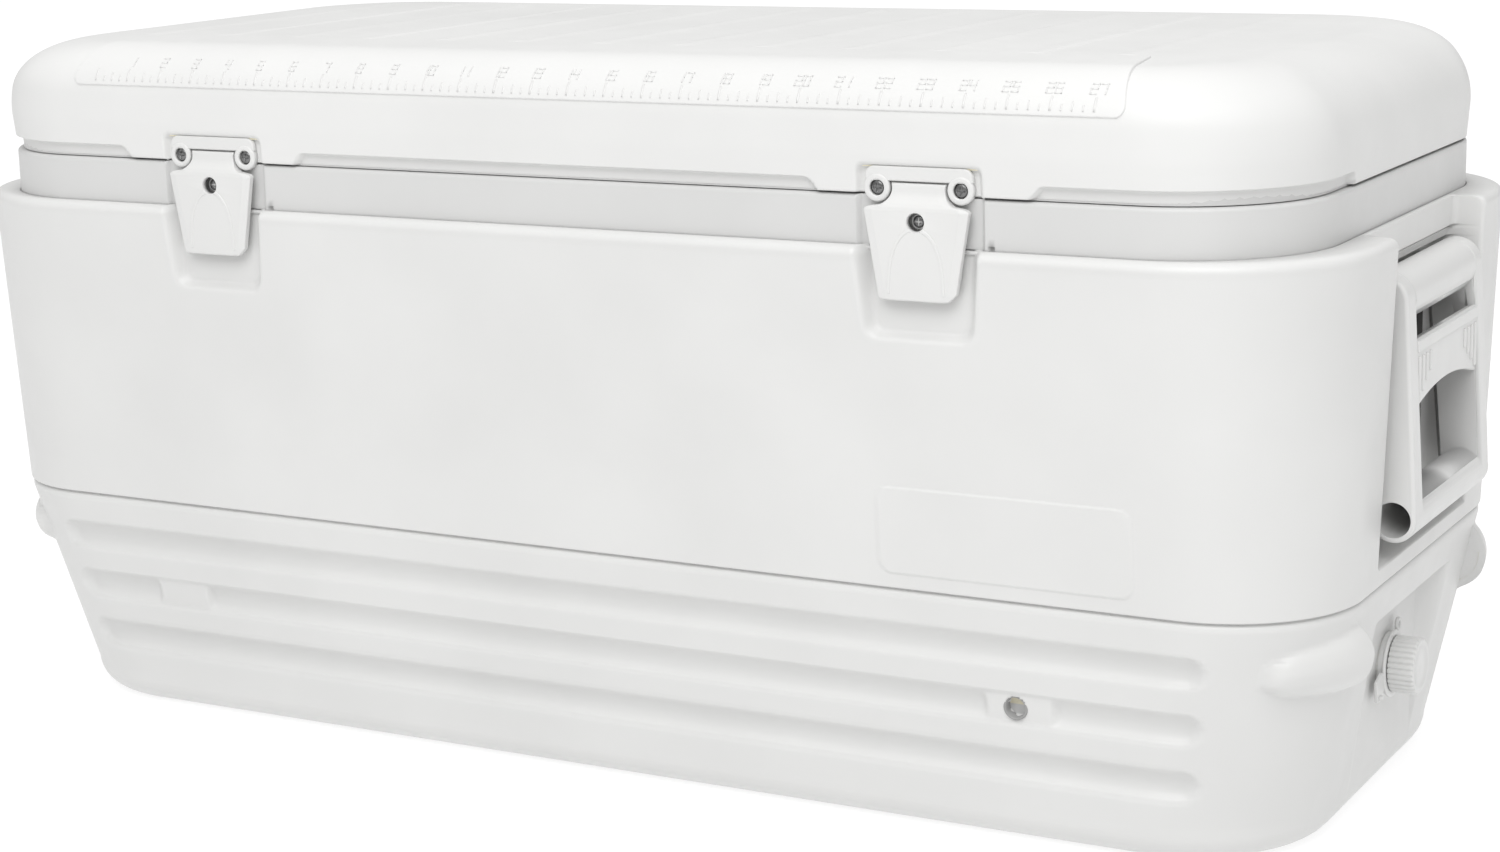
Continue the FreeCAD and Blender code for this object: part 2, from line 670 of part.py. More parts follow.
posts = []
post_screws = []
strap_screws = []
for label, sign in (("left", "-"), ("right", "")):
    along = sign + "Sizes.latch_offset"
    stud = rod("post_stud_" + label, "Sizes.post_radius", "Sizes.post_length", along,
               "-Sizes.pocket_plane", "Sizes.post_level", FORWARD)
    flange = rod("post_flange_" + label, "Sizes.post_radius + 2", "1.4", along, "-Sizes.pocket_plane",
                 "Sizes.post_level", FORWARD)
    drill = rod("post_drill_" + label, "1.75", "20", along, "-Sizes.pocket_plane + 5",
                "Sizes.post_level", FORWARD)
    posts.append(cut("post_" + label, join("post_blank_" + label, [stud, flange]), drill))
    post_screws.append(screw("post_screw_" + label, along, "-Sizes.pocket_plane - Sizes.post_length",
                             "Sizes.post_level", FORWARD, -1))
    for number, shift in enumerate((" - Sizes.ear_offset", " + Sizes.ear_offset")):
        strap_screws.append(screw("strap_screw_%s_%d" % (label, number), along + shift,
                                  "-Sizes.strap_plane - Sizes.strap_thick", "Sizes.ear_level", FORWARD, -1))
group("latch_posts", posts)
group("latch_post_screws", post_screws)
group("latch_strap_screws", strap_screws)


# ---------------------------------------------------------------- handles

def tangent_outline(low, low_radius, high, high_radius):
    """The belt line round two circles, as short straight runs."""
    lean = math.atan2(high[0] - low[0], high[1] - low[1])
    points = []
    for centre, radius, start in ((low, low_radius, 180), (high, high_radius, 0)):
        for step in range(13):
            angle = math.radians(start + 15 * step) - lean
            points.append((centre[0] + radius * math.cos(angle), centre[1] + radius * math.sin(angle)))
    return points


def handle(name, end):
    """A one-piece swing-up handle: pivot barrel, two arms, ribbed panel and open-ended grip tube."""
    body, plane = body_with_plane(name, "XZ_Plane")
    pivot = (size("pivot_out"), size("pivot_level"))
    grip = (size("grip_out"), size("grip_level"))
    arm = sketch(body, plane, name + "_arm")
    outline_points = tangent_outline(grip, size("grip_radius"), pivot, size("arm_radius"))
    loop(arm, [(end * x, z) for x, z in outline_points])
    pad(body, arm, 2 * size("arm_half"), True, "2 * Sizes.arm_half")
    gap = sketch(body, plane, name + "_gap")
    low = size("grip_level") + 10.5
    high = size("pivot_level")
    inner = size("panel_face") - size("panel_thick")
    loop(gap, [(end * x, z) for x, z in (
        (440, low), (510, low), (510, size("panel_foot")), (inner, size("panel_foot")),
        (inner, size("panel_top")), (510, size("panel_top")), (510, high), (440, high))])
    pocket(body, gap, 2 * size("arm_inner"), True, "2 * Sizes.arm_inner")
    barrel = sketch(body, plane, name + "_barrel")
    ring(barrel, (end * pivot[0], pivot[1]), size("barrel_radius"), "Sizes.barrel_radius")
    pad(body, barrel, 2 * size("arm_inner") + 0.2, True)
    tube = sketch(body, plane, name + "_tube")
    ring(tube, (end * grip[0], grip[1]), size("grip_radius"), "Sizes.grip_radius")
    pad(body, tube, 2 * size("arm_half"), True, "2 * Sizes.arm_half")
    face_plane = [item for item in body.Origin.OriginFeatures if item.Role == "YZ_Plane"][0]
    plate = sketch(body, face_plane, name + "_plate", end * (inner + size("panel_thick") / 2))
    half = size("arm_inner") + 2
    arch_points = []
    for step in range(17):
        across = half - step * half / 8
        rise = size("panel_arch") * (1 - (across / half) ** 2)
        arch_points.append((across, size("panel_foot") + rise))
    loop(plate, [(-half, size("panel_top")), (half, size("panel_top"))] + arch_points)
    pad(body, plate, size("panel_thick"), True, "Sizes.panel_thick")
    ribs = sketch(body, face_plane, name + "_ribs", end * size("panel_face"))
    for side in (-1, 1):
        for number in range(4):
            centre = side * (33 + 7.5 * number)
            loop(ribs, [(centre - 1.3, size("panel_foot") + 7), (centre + 1.3, size("panel_foot") + 7),
                        (centre + 1.3, size("panel_top") - 3), (centre - 1.3, size("panel_top") - 3)])
    pad(body, ribs, 2.4, True)
    bores = sketch(body, plane, name + "_bores")
    ring(bores, (end * grip[0], grip[1]), size("grip_bore"), "Sizes.grip_bore")
    pin_bore = size("pin_radius") + size("pin_fit")
    ring(bores, (end * pivot[0], pivot[1]), pin_bore, "Sizes.pin_radius + Sizes.pin_fit")
    pocket(body, bores, 2 * size("arm_half") + 4, True)
    return body


handle("handle_left", -1)
handle("handle_right", 1)
for label, sign in (("left", "-"), ("right", "")):
    rod("handle_pin_" + label, "Sizes.pin_radius", "2 * Sizes.recess_half + 3", sign + "Sizes.pivot_out",
        "Sizes.recess_half + 1.5", "Sizes.pivot_level", FORWARD)


# ---------------------------------------------------------------- drain

def washer(name, outer_rule, inner_rule, start_rule, thick_rule):
    """A flat ring on the drain axis."""
    disc = rod(name + "_disc", outer_rule, thick_rule, start_rule, "0", "Sizes.drain_level", OUTWARD)
    hole = rod(name + "_hole", inner_rule, thick_rule + " + 2", start_rule + " - 1", "0",
               "Sizes.drain_level", OUTWARD)
    return cut(name, disc, hole)


neck = rod("spout_neck", "Sizes.neck_radius", "48", "Sizes.cap_end - 53", "0", "Sizes.drain_level", OUTWARD)
flange = rod("spout_flange", "19", "2.6", "Sizes.drain_wall + 1.2", "0", "Sizes.drain_level", OUTWARD)
through = rod("spout_bore", "Sizes.bore_radius", "60", "Sizes.cap_end - 58", "0",
              "Sizes.drain_level", OUTWARD)
slim = washer("spout_relief", "Sizes.neck_radius + 3", "Sizes.neck_radius - 2", "Sizes.cap_end - 60", "28")
cut("drain_spout", cut("spout_blank", join("spout_solid", [neck, flange]), through), slim)
washer("drain_gasket", "18.4", "Sizes.neck_radius + 0.2", "Sizes.drain_wall", "1.2")
washer("drain_nut", "Sizes.nut_radius", "Sizes.neck_radius - Sizes.neck_relief",
       "Sizes.tub_length - 13.2", "4")

tether_ring = washer("tether_ring", "20.4", "14.2", "Sizes.drain_wall + 3.8", "1.8")
tether_tab = block("tether_tab", "1.8", "9", "12", "Sizes.drain_wall + 3.8", "-20", "Sizes.drain_level - 26")
tether_loop = rod("tether_loop", "4.2", "1.8", "Sizes.drain_wall + 3.8", "9",
                  "Sizes.drain_level + 22", OUTWARD)
loop_hole = rod("tether_loop_hole", "2.2", "4", "Sizes.drain_wall + 2.8", "9",
                "Sizes.drain_level + 22", OUTWARD)
tether_link = block("tether_link", "1.8", "4", "6", "Sizes.drain_wall + 3.8", "6", "Sizes.drain_level + 15")
tether_blank = join("tether_blank", [tether_ring, tether_tab, tether_loop, tether_link])
cut("drain_tether", tether_blank, loop_hole)


def drain_cap():
    """A round screw cap with grip ribs all round its side."""
    body, plane = body_with_plane("drain_cap", "XZ_Plane")
    level = size("drain_level")
    end = size("cap_end")
    profile = sketch(body, plane, "cap_profile")
    bore = size("neck_radius") + 0.5
    loop(profile, [(end - 16, level + bore), (end - 16, level + size("cap_radius")),
                   (end - 1.2, level + size("cap_radius")), (end, level + size("cap_radius") - 1.2),
                   (end, level), (end - 3, level), (end - 3, level + bore)])
    axis = sketch(body, plane, "cap_axis")
    axis.addGeometry(Part.LineSegment(Vector(end - 20, level, 0), Vector(end, level, 0)), False)
    turn = body.newObject("PartDesign::Revolution", "cap_turned")
    turn.Profile = profile
    turn.ReferenceAxis = (axis, ["Edge1"])
    turn.Angle = 360
    side_plane = [item for item in body.Origin.OriginFeatures if item.Role == "YZ_Plane"][0]
    notch = sketch(body, side_plane, "cap_notch", end - 13)
    reach = size("cap_radius")
    loop(notch, [(-0.9, level + reach - 0.9), (0.9, level + reach - 0.9),
                 (1.3, level + reach + 1), (-1.3, level + reach + 1)])
    groove = body.newObject("PartDesign::Pocket", "cap_groove")
    groove.Profile = notch
    groove.Length = 20
    groove.Reversed = True
    doc.recompute()
    pattern = body.newObject("PartDesign::PolarPattern", "cap_grooves")
    pattern.Originals = [groove]
    pattern.Axis = (axis, ["Edge1"])
    pattern.Angle = 360
    pattern.Occurrences = 30
    body.Tip = pattern
    return body


drain_cap()
rod("drain_seal", "Sizes.neck_radius - 0.6", "1.2", "Sizes.cap_end - 4.6", "0", "Sizes.drain_level", OUTWARD)


# ---------------------------------------------------------------- hinges

def hinge_leaf(name, step, upper):
    """One leaf of a butt hinge; the upper leaf has the middle knuckle, the lower leaf the outer two."""
    middle = "%d * Sizes.hinge_spread" % step
    low = "Sizes.hinge_level + 2.2" if upper else "Sizes.shoulder_level + 2"
    tall = "18" if upper else "Sizes.hinge_level - Sizes.shoulder_level - 4.2"
    back = "Sizes.rim_width - 0.6" if upper else "Sizes.rim_width"
    plate = block(name + "_plate", "2 * Sizes.hinge_half", "Sizes.leaf_thick", tall,
                  middle + " - Sizes.hinge_half", back, low)
    pieces = [plate]
    spans = ((-9.6, 19.2),) if upper else ((-30.0, 20.0), (10.0, 20.0))
    for number, (start, length) in enumerate(spans):
        begin = "%s + (%s)" % (middle, start)
        pieces.append(rod("%s_knuckle_%d" % (name, number), "Sizes.knuckle_radius", str(length), begin,
                          "Sizes.hinge_out", "Sizes.hinge_level", OUTWARD))
        web_low = "Sizes.hinge_level" if upper else "Sizes.hinge_level - 6.4"
        deep = "Sizes.hinge_out - Sizes.rim_width + 2"
        pieces.append(block("%s_web_%d" % (name, number), str(length), deep, "6.4", begin,
                            "Sizes.rim_width", web_low))
    blank = join(name + "_blank", pieces)
    tools = [rod(name + "_bore", "Sizes.hinge_pin + 0.06", "80", middle + " - 40", "Sizes.hinge_out",
                 "Sizes.hinge_level", OUTWARD)]
    spaces = ((-30.5, 20.5), (10.0, 20.5)) if upper else ((-10.0, 20.0),)
    for number, (start, length) in enumerate(spaces):
        tools.append(rod("%s_room_%d" % (name, number), "Sizes.knuckle_radius + 0.6", str(length),
                         "%s + (%s)" % (middle, start), "Sizes.hinge_out", "Sizes.hinge_level", OUTWARD))
    level = low + (" + 11" if upper else " + 9")
    for number, shift in enumerate(SCREW_SHIFTS):
        tools.append(rod("%s_screw_hole_%d" % (name, number), "1.75", "20", "%s + (%d)" % (middle, shift),
                         "Sizes.rim_width - 8", level, BACKWARD))
    return cut(name, blank, join(name + "_tools", tools))


hinge_pins = []
lower_screws = []
upper_screws = []
for label, step in (("left", -1), ("middle", 0), ("right", 1)):
    hinge_leaf("hinge_lid_leaf_" + label, step, True)
    hinge_leaf("hinge_body_leaf_" + label, step, False)
    middle = "%d * Sizes.hinge_spread" % step
    hinge_pins.append(rod("hinge_pin_" + label, "Sizes.hinge_pin", "64", middle + " - 32", "Sizes.hinge_out",
                          "Sizes.hinge_level", OUTWARD))
    for number, shift in enumerate(SCREW_SHIFTS):
        along = "%s + (%d)" % (middle, shift)
        face = "Sizes.rim_width + Sizes.leaf_thick"
        name = "screw_%s_%d" % (label, number)
        lower_screws.append(screw("lower_" + name, along, face, "Sizes.shoulder_level + 11", BACKWARD, 1))
        upper_screws.append(screw("upper_" + name, along, face + " - 0.6", "Sizes.hinge_level + 13.2",
                                  BACKWARD, 1))
group("hinge_pins", hinge_pins)
group("hinge_body_screws", lower_screws)
group("hinge_lid_screws", upper_screws)

doc.recompute()

# ---------------------------------------------------------------- export

NODES = ["body_shell", "tub_liner", "body_foam", "latch_posts", "latch_post_screws", "handle_pin_left",
         "handle_pin_right", "drain_spout", "drain_gasket", "drain_nut", "drain_tether",
         "hinge_body_leaf_left", "hinge_body_leaf_middle", "hinge_body_leaf_right", "hinge_body_screws",
         "lid_shell", "lid_liner", "lid_foam", "latch_strap_left", "latch_strap_right", "latch_strap_screws",
         "hinge_lid_leaf_left", "hinge_lid_leaf_middle", "hinge_lid_leaf_right", "hinge_lid_screws",
         "hinge_pins", "latch_flap_left", "latch_flap_right", "handle_left", "handle_right", "drain_cap",
         "drain_seal"]


def export_all():
    """Checks every object, then writes each node to its own file."""
    os.makedirs("parts", exist_ok=True)
    for thing in doc.Objects:
        if "Invalid" in thing.State or "Error" in thing.State:
            print("BAD STATE", thing.Name, thing.State)
    for name in NODES:
        thing = doc.getObject(name)
        thing.Label = name
        shape = thing.Shape
        if shape.isNull() or not shape.isValid():
            print("BAD SHAPE", name)
        box = shape.BoundBox
        reach = (box.XMin, box.XMax, box.YMin, box.YMax, box.ZMin, box.ZMax)
        line = "%-24s solids %2d  volume %9.1f cm3  x %7.1f..%7.1f  y %7.1f..%7.1f  z %6.1f..%6.1f"
        print(line % ((name, len(shape.Solids), shape.Volume / 1000) + reach))
        shape.exportStep("parts/%s.step" % name)


export_all()
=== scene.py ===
import json
import math

import bmesh
import bpy
import numpy as np
from mathutils import Matrix, Vector


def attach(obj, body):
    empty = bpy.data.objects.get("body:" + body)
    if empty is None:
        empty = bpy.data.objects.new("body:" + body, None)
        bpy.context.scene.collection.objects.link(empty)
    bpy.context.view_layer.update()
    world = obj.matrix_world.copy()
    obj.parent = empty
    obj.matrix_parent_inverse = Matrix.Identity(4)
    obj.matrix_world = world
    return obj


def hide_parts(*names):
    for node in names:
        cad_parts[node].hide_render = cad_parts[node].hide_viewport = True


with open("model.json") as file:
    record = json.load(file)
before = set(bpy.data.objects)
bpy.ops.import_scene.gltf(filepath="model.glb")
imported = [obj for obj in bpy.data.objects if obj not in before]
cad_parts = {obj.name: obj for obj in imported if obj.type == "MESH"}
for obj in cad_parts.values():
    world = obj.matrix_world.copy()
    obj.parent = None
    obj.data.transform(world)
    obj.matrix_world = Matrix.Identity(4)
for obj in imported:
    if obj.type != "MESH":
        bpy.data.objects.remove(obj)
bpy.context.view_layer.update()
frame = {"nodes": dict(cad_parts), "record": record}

# A white insulated chest cooler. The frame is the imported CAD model, in metres; the forms here are
# worked out in millimetres and scaled as each mesh is made. +X is the drain end, -Y the latch side.

MM = 0.001


# ---- shaping helpers

def ease(t):
    """A smooth step from 0 to 1."""
    t = np.clip(t, 0.0, 1.0)
    return t * t * (3.0 - 2.0 * t)


def soft_min(a, b, radius):
    """The smaller of two values, with the crease between them rounded."""
    h = np.clip(0.5 + 0.5 * (b - a) / radius, 0.0, 1.0)
    return b + (a - b) * h - radius * h * (1.0 - h)


def soft_max(a, b, radius):
    return -soft_min(-a, -b, radius)


def rounded_box(x, y, half_x, half_y, corner):
    """Signed distance to a rounded rectangle: negative inside."""
    dx = np.abs(x) - (half_x - corner)
    dy = np.abs(y) - (half_y - corner)
    outside = np.hypot(np.maximum(dx, 0.0), np.maximum(dy, 0.0))
    return outside + np.minimum(np.maximum(dx, dy), 0.0) - corner


def spread(*runs):
    """Stations along a line, from runs of (start, end, spacing)."""
    values = [np.arange(start, end - 0.4 * step, step) for start, end, step in runs]
    return np.concatenate(values)


def all_round(values, signs=(1, 1, 1, 1)):
    """Copies a quarter outline to the front right, back right, back left and front left."""
    a, b, c, d = signs
    return np.concatenate([a * values, b * values[-2::-1], c * values[1:], d * values[-2:0:-1]])


def new_mesh(name, points, faces):
    """A smooth-shaded object from points in millimetres."""
    mesh = bpy.data.meshes.new(name)
    scaled = np.asarray(points, float) * MM
    mesh.from_pydata(scaled.tolist(), [], [tuple(int(i) for i in face) for face in faces])
    mesh.validate()
    mesh.update()
    mesh.polygons.foreach_set("use_smooth", [True] * len(mesh.polygons))
    piece = bpy.data.objects.new(name, mesh)
    bpy.context.scene.collection.objects.link(piece)
    return piece


def vertex_normals(mesh):
    normals = np.zeros(len(mesh.vertices) * 3, np.float32)
    mesh.vertices.foreach_get("normal", normals)
    return normals.reshape(-1, 3)


def thicken(piece, wall):
    """Gives a skin a wall of this thickness on its inner side."""
    shell = piece.modifiers.new("wall", "SOLIDIFY")
    shell.thickness = wall * MM
    shell.offset = -1.0
    return piece


def grid_faces(rows, count):
    """Quads between closed rings of equal count, the lowest ring first."""
    ring = np.arange(count)
    following = (ring + 1) % count
    quads = []
    for row in range(rows - 1):
        low = row * count
        high = low + count
        quads.append(np.stack([low + ring, low + following, high + following, high + ring], axis=1))
    return np.concatenate(quads)


def sheet_faces(rows, count):
    """Quads of an open sheet of rows of points."""
    return [(j * count + i, j * count + i + 1, (j + 1) * count + i + 1, (j + 1) * count + i)
            for j in range(rows - 1) for i in range(count - 1)]


def close_rings(rings, caps=True):
    """One form from rings of points: side faces, with flat end caps or a join back to the start."""
    count = len(rings[0])
    total = count * len(rings)
    faces = list(grid_faces(len(rings) + (0 if caps else 1), count) % total)
    if caps:
        faces += [range(count - 1, -1, -1), range(total - count, total)]
    return np.concatenate(rings), faces


def level_ring(flat, depth):
    """A flat outline raised to one depth."""
    return np.column_stack([flat, np.full(len(flat), depth)])


def round_corners(corners, steps=6):
    """A closed outline through (across, up, radius) corners, each one rounded."""
    points = []
    for index, (across, up, radius) in enumerate(corners):
        corner = np.array([across, up])
        before = np.array(corners[index - 1][:2]) - corner
        after = np.array(corners[(index + 1) % len(corners)][:2]) - corner
        before = before / np.linalg.norm(before)
        after = after / np.linalg.norm(after)
        half = math.acos(float(np.clip(before @ after, -1, 1))) / 2
        middle = before + after
        centre = corner + middle / np.linalg.norm(middle) * radius / math.sin(half)
        start = corner + before * radius / math.tan(half) - centre
        end = corner + after * radius / math.tan(half) - centre
        for share in np.linspace(0, 1, steps):
            arm = start * (1 - share) + end * share
            points.append(centre + arm / np.linalg.norm(arm) * radius)
    return np.array(points)


def rounded_rectangle(left, low, right, high, radius):
    """The closed outline of an upright rectangle with rounded corners."""
    corners = ((left, low), (right, low), (right, high), (left, high))
    return round_corners([(across, up, radius) for across, up in corners], 5)


def rounding(radius, steps, first=0.0, last=90.0):
    """Steps over a quarter round, from its side to its top: how far below the top and inside the side."""
    turns = np.radians(np.linspace(first, last, steps))
    return [(radius * (1.0 - math.sin(turn)), radius * (1.0 - math.cos(turn))) for turn in turns]


def inset(line, distance):
    """A closed anticlockwise outline drawn in by a distance."""
    first = line - np.roll(line, 1, axis=0)
    second = np.roll(line, -1, axis=0) - line
    first = first / np.linalg.norm(first, axis=1, keepdims=True)
    second = second / np.linalg.norm(second, axis=1, keepdims=True)
    inward = np.stack([-(first + second)[:, 1], (first + second)[:, 0]], axis=1)
    inward = inward / np.linalg.norm(inward, axis=1, keepdims=True)
    lean = np.maximum(inward[:, 0] * -first[:, 1] + inward[:, 1] * first[:, 0], 0.6)
    return line + inward * (distance / lean)[:, None]


def plate(line, thick, edge, steps=5):
    """A plate with rounded edges; its depth runs from 0 to its thickness."""
    near = []
    far = []
    for within, rise in rounding(edge, steps):
        drawn_in = inset(line, within)
        near.append(level_ring(drawn_in, rise))
        far.insert(0, level_ring(drawn_in, thick - rise))
    return close_rings(near + far)


def turned(profile, segments=48, hollow=False, ripple=0.0, ribs=0):
    """A form turned about its depth axis from (radius, depth) pairs.

    Pairs with a third value have grooves of the ripple's depth cut into them, between the ribs.
    """
    angles = np.linspace(0, 2 * math.pi, segments, endpoint=False)
    wave = 1.0 - 2.0 * np.abs((angles * ribs / (2 * math.pi)) % 1.0 - 0.5)
    groove = ripple * ease((wave - 0.62) / 0.25)
    rings = []
    for radius, depth, *ribbed in profile:
        reach = radius - groove * len(ribbed)
        rings.append(level_ring(np.column_stack([reach * np.cos(angles), reach * np.sin(angles)]), depth))
    return close_rings(rings, caps=not hollow)


def put(form, origin, facing):
    """Moves a form into place: its depth axis points to the front, back, right-hand end or top."""
    points, faces = form
    across, up, depth = points.T
    turned_to = {"front": (across, -depth, up), "back": (across, depth, up),
                 "end": (depth, across, up), "top": (across, up, depth)}[facing]
    return np.stack(turned_to, axis=1) + np.array(origin, float), faces


def build(name, forms, flip=False):
    """One object from several forms; flip mirrors them to the other end."""
    points = []
    faces = []
    start = 0
    for form_points, form_faces in forms:
        points.append(form_points * np.array([-1.0 if flip else 1.0, 1.0, 1.0]))
        faces.extend(tuple(int(corner) + start for corner in face) for face in form_faces)
        start += len(form_points)
    piece = new_mesh(name, np.concatenate(points), faces)
    work = bmesh.new()
    work.from_mesh(piece.data)
    bmesh.ops.recalc_face_normals(work, faces=work.faces)
    work.to_mesh(piece.data)
    work.free()
    return piece


def even_shading(piece):
    """Shades broad faces as flat, with the bend kept to their rounded edges."""
    shading = piece.modifiers.new("shading", "WEIGHTED_NORMAL")
    shading.weight = 60
    return piece


def carve(piece, *tools, overlapping=True):
    """Cuts forms out of a piece; overlapping is for a piece whose own forms cross each other."""
    for tool in tools:
        cut = piece.modifiers.new("cut", "BOOLEAN")
        cut.operation = "DIFFERENCE"
        cut.solver = "EXACT"
        cut.use_self = overlapping
        cut.object = tool
    mesh = bpy.data.meshes.new_from_object(piece.evaluated_get(bpy.context.evaluated_depsgraph_get()))
    piece.modifiers.clear()
    piece.data = mesh
    for tool in tools:
        bpy.data.objects.remove(tool)
    return piece


# ---- outline of the body and lid

LOBE_CUT = 116.0  # |y| where each bumper lobe is cut off square
CUT_SHARE = 0.85  # share of the corner stations that lie before that cut
FLAT_KNOTS = (0.0, 345.0, 376.0, 400.0)  # stations that stay in place along the front and back
END_KNOTS = (0.0, 74.0, 100.0, 120.0)  # the same across an end
WALL_LINE = 88.0  # |y| of the side walls of the handle recess
WALL_LEAN = 0.6  # how much wider the recess is at its mouth
FOOT_FILLET = 4.0
LIP_FILLET = 3.0


def recess_stations():
    """Stations across an end, past the recess's side wall: rows of y, constant and share.

    A station lies at (1 - share) of the recess's depth, less its constant.
    """
    inner = (0, 10, 20, 30, 40, 48, 55, 58, 60, 62, 64, 67, 70, 73, 76, 79, 81.5)
    outer = (93.5, 96, 99, 103, 107, 111, 115)
    turns = [(math.sin(turn), math.cos(turn)) for turn in np.radians((0, 22, 45, 68, 90))]
    foot = [(WALL_LINE - FOOT_FILLET * (1 - s), FOOT_FILLET * (1 - c), 0) for s, c in turns]
    wall = [(WALL_LINE + WALL_LEAN * step, FOOT_FILLET * (1 - step) - LIP_FILLET * step, step)
            for step in (0.25, 0.5, 0.75)]
    lip = [(WALL_LINE + WALL_LEAN + LIP_FILLET * (1 - c), LIP_FILLET * (s - 1), 1) for s, c in turns]
    stations = [(across, 0, 0) for across in inner] + foot + wall + lip + [(across, 0, 1) for across in outer]
    return np.array(stations, float).T


END_STATIONS, CLIMB_CONSTANT, CLIMB_SHARE = recess_stations()
FRONT_STATIONS = spread((0, 198, 6), (198, 222, 1.5), (222, 266, 5.5), (266, 284, 2), (284, 300, 1.0),
                        (300, 340, 2), (340, 366, 4), (366, 373, 0.9), (373, 400, 6))
TURN_STATIONS = np.concatenate([np.linspace(0, 0.32, 15), np.linspace(0.345, 0.84, 17),
                                [0.846, 0.8488, 0.84999, 0.85001, 0.8512, 0.86, 0.9, 0.95]])


def outline(length, width, corner, front=FRONT_STATIONS, shift=0.0):
    """One horizontal ring: points, outward directions and what each station is for."""
    flat_x = length - corner
    flat_y = width - corner
    x = np.interp(front, FLAT_KNOTS, (0, min(345, flat_x - 8), min(376, flat_x - 4), flat_x))
    y = np.interp(END_STATIONS, END_KNOTS, (0, min(74, flat_y - 6), min(100, flat_y - 3), flat_y))
    reach = min(max((LOBE_CUT - flat_y) / corner, 0.06), 0.5)
    cut = math.pi / 2 - math.asin(reach)
    turn = np.interp(TURN_STATIONS, (0, CUT_SHARE, 1), (0, cut, math.pi / 2))

    def join(flat, bend, end):
        parts = ((flat, x), (bend, turn), (end, y))
        return np.concatenate([np.broadcast_to(part, like.shape) for part, like in parts])

    quarter = {
        "x": join(x, flat_x + corner * np.sin(turn), length),
        "y": join(width, flat_y + corner * np.cos(turn), y[::-1]),
        "out_x": join(0.0, np.sin(turn), 1.0),
        "out_y": join(1.0, np.cos(turn), 0.0),
        "run": join(x, flat_x + corner * turn, 1000.0),
        "turn": join(0.0, turn, math.pi / 2),
        "lobe": join(0.0, (TURN_STATIONS < CUT_SHARE) * 1.0, 0.0),
        "end": join(0.0, 0.0, 1.0),
        "constant": join(0.0, 0.0, CLIMB_CONSTANT[::-1]),
        "share": join(1.0, 1.0, CLIMB_SHARE[::-1]),
    }
    ring = {key: all_round(value) for key, value in quarter.items()}
    for key in ("x", "out_x"):
        ring[key] = all_round(quarter[key], (1, 1, -1, -1))
    for key in ("y", "out_y"):
        ring[key] = all_round(quarter[key], (-1, 1, 1, -1))
    ring["y"] = ring["y"] + shift
    return ring


def ring_points(ring, level, reach=0.0):
    """The points of a ring at one level, each moved outwards by its reach."""
    x = ring["x"] + ring["out_x"] * reach
    y = ring["y"] + ring["out_y"] * reach
    return np.stack([x, y, np.full_like(x, level)], axis=1)


# ---- body of the chest

FOOT = (445.8, 172.0, 92.0)  # half length, half width and corner radius at the foot
BELT = (473.0, 198.0, 80.0)  # the same at the top of the skirt
SHOULDER = (481.5, 215.3, 100.0)  # the same at the top of the body
RIM = (457.0, 207.5, 86.0)  # the same for the tub's rim
BELT_LEVEL = 151.0
SHOULDER_LEVEL = 352.5
FOOT_ROUND = 20.0
SHOULDER_ROUND = 5.5
SHELL_WALL = 1.6
BELT_ROLL = (3.4, 5.4)  # how far in and how high the rounded upper edge of the skirt is
RIM_GROOVE = 0.8
LATCH_OFFSET = 245.9
POCKET_PLANE = 204.6  # |y| of the back of the latch pockets
POCKET_FOOT = 300.0
POCKET_HALF = (33.5, 38.6)  # half width at the foot and at the shoulder
FLUTES = ((121.0, 406.0), (86.0, 402.0), (50.0, 398.0))  # level and half length
FLUTE_RADIUS = 11.0
FLUTE_STAND_OFF = 5.0  # the flute's centre lies this far outside the wall
PADS = (-313.0, 294.0)
PAD_HALF = 23.5
PAD_DEEP = 1.8
VENT = (292.0, 86.0, 6.0)  # x, level and radius of the hole
VENT_DEEP = 9.0
BADGE = (291.5, 187.5, 78.0, 26.5, 8.0)  # x, level, half length, half height, corner radius
BADGE_RISE = 0.9
LOBE_LEVEL = 118.0
LOBE_OUT = 14.0
LOBE_UP = 22.5
LOBE_DOWN = 20.0
LOBE_TURN = 54.0  # degrees of the corner from tip to root
DRAIN_ROOF = 128.0
DRAIN_PANEL = (8.6, 82.0, 60.0)  # depth at the cap's level, that level, and half width
RECESS_BACK = 446.0
RECESS_FOOT = 158.0
SILL = (452.0, 170.0, 2.9)  # x and level of a point on the sloping sill, and its slope
LEDGE = 334.4  # level of the ledge over the handle's barrel
LEDGE_BACK = 462.0  # x of the wall above it
PIVOT_WALL = 458.5  # x of the wall just below it
SLIT = (1.6, 450.0)  # height of the slit under the ledge, and x of its back


def body_size(level):
    """Half length, half width and corner radius of the body at one level."""
    if level <= BELT_LEVEL:
        low, high, share = FOOT, BELT, level / BELT_LEVEL
    else:
        low, high = BELT, SHOULDER
        share = (level - BELT_LEVEL) / (SHOULDER_LEVEL - BELT_LEVEL)
    return [a + (b - a) * share for a, b in zip(low, high)]


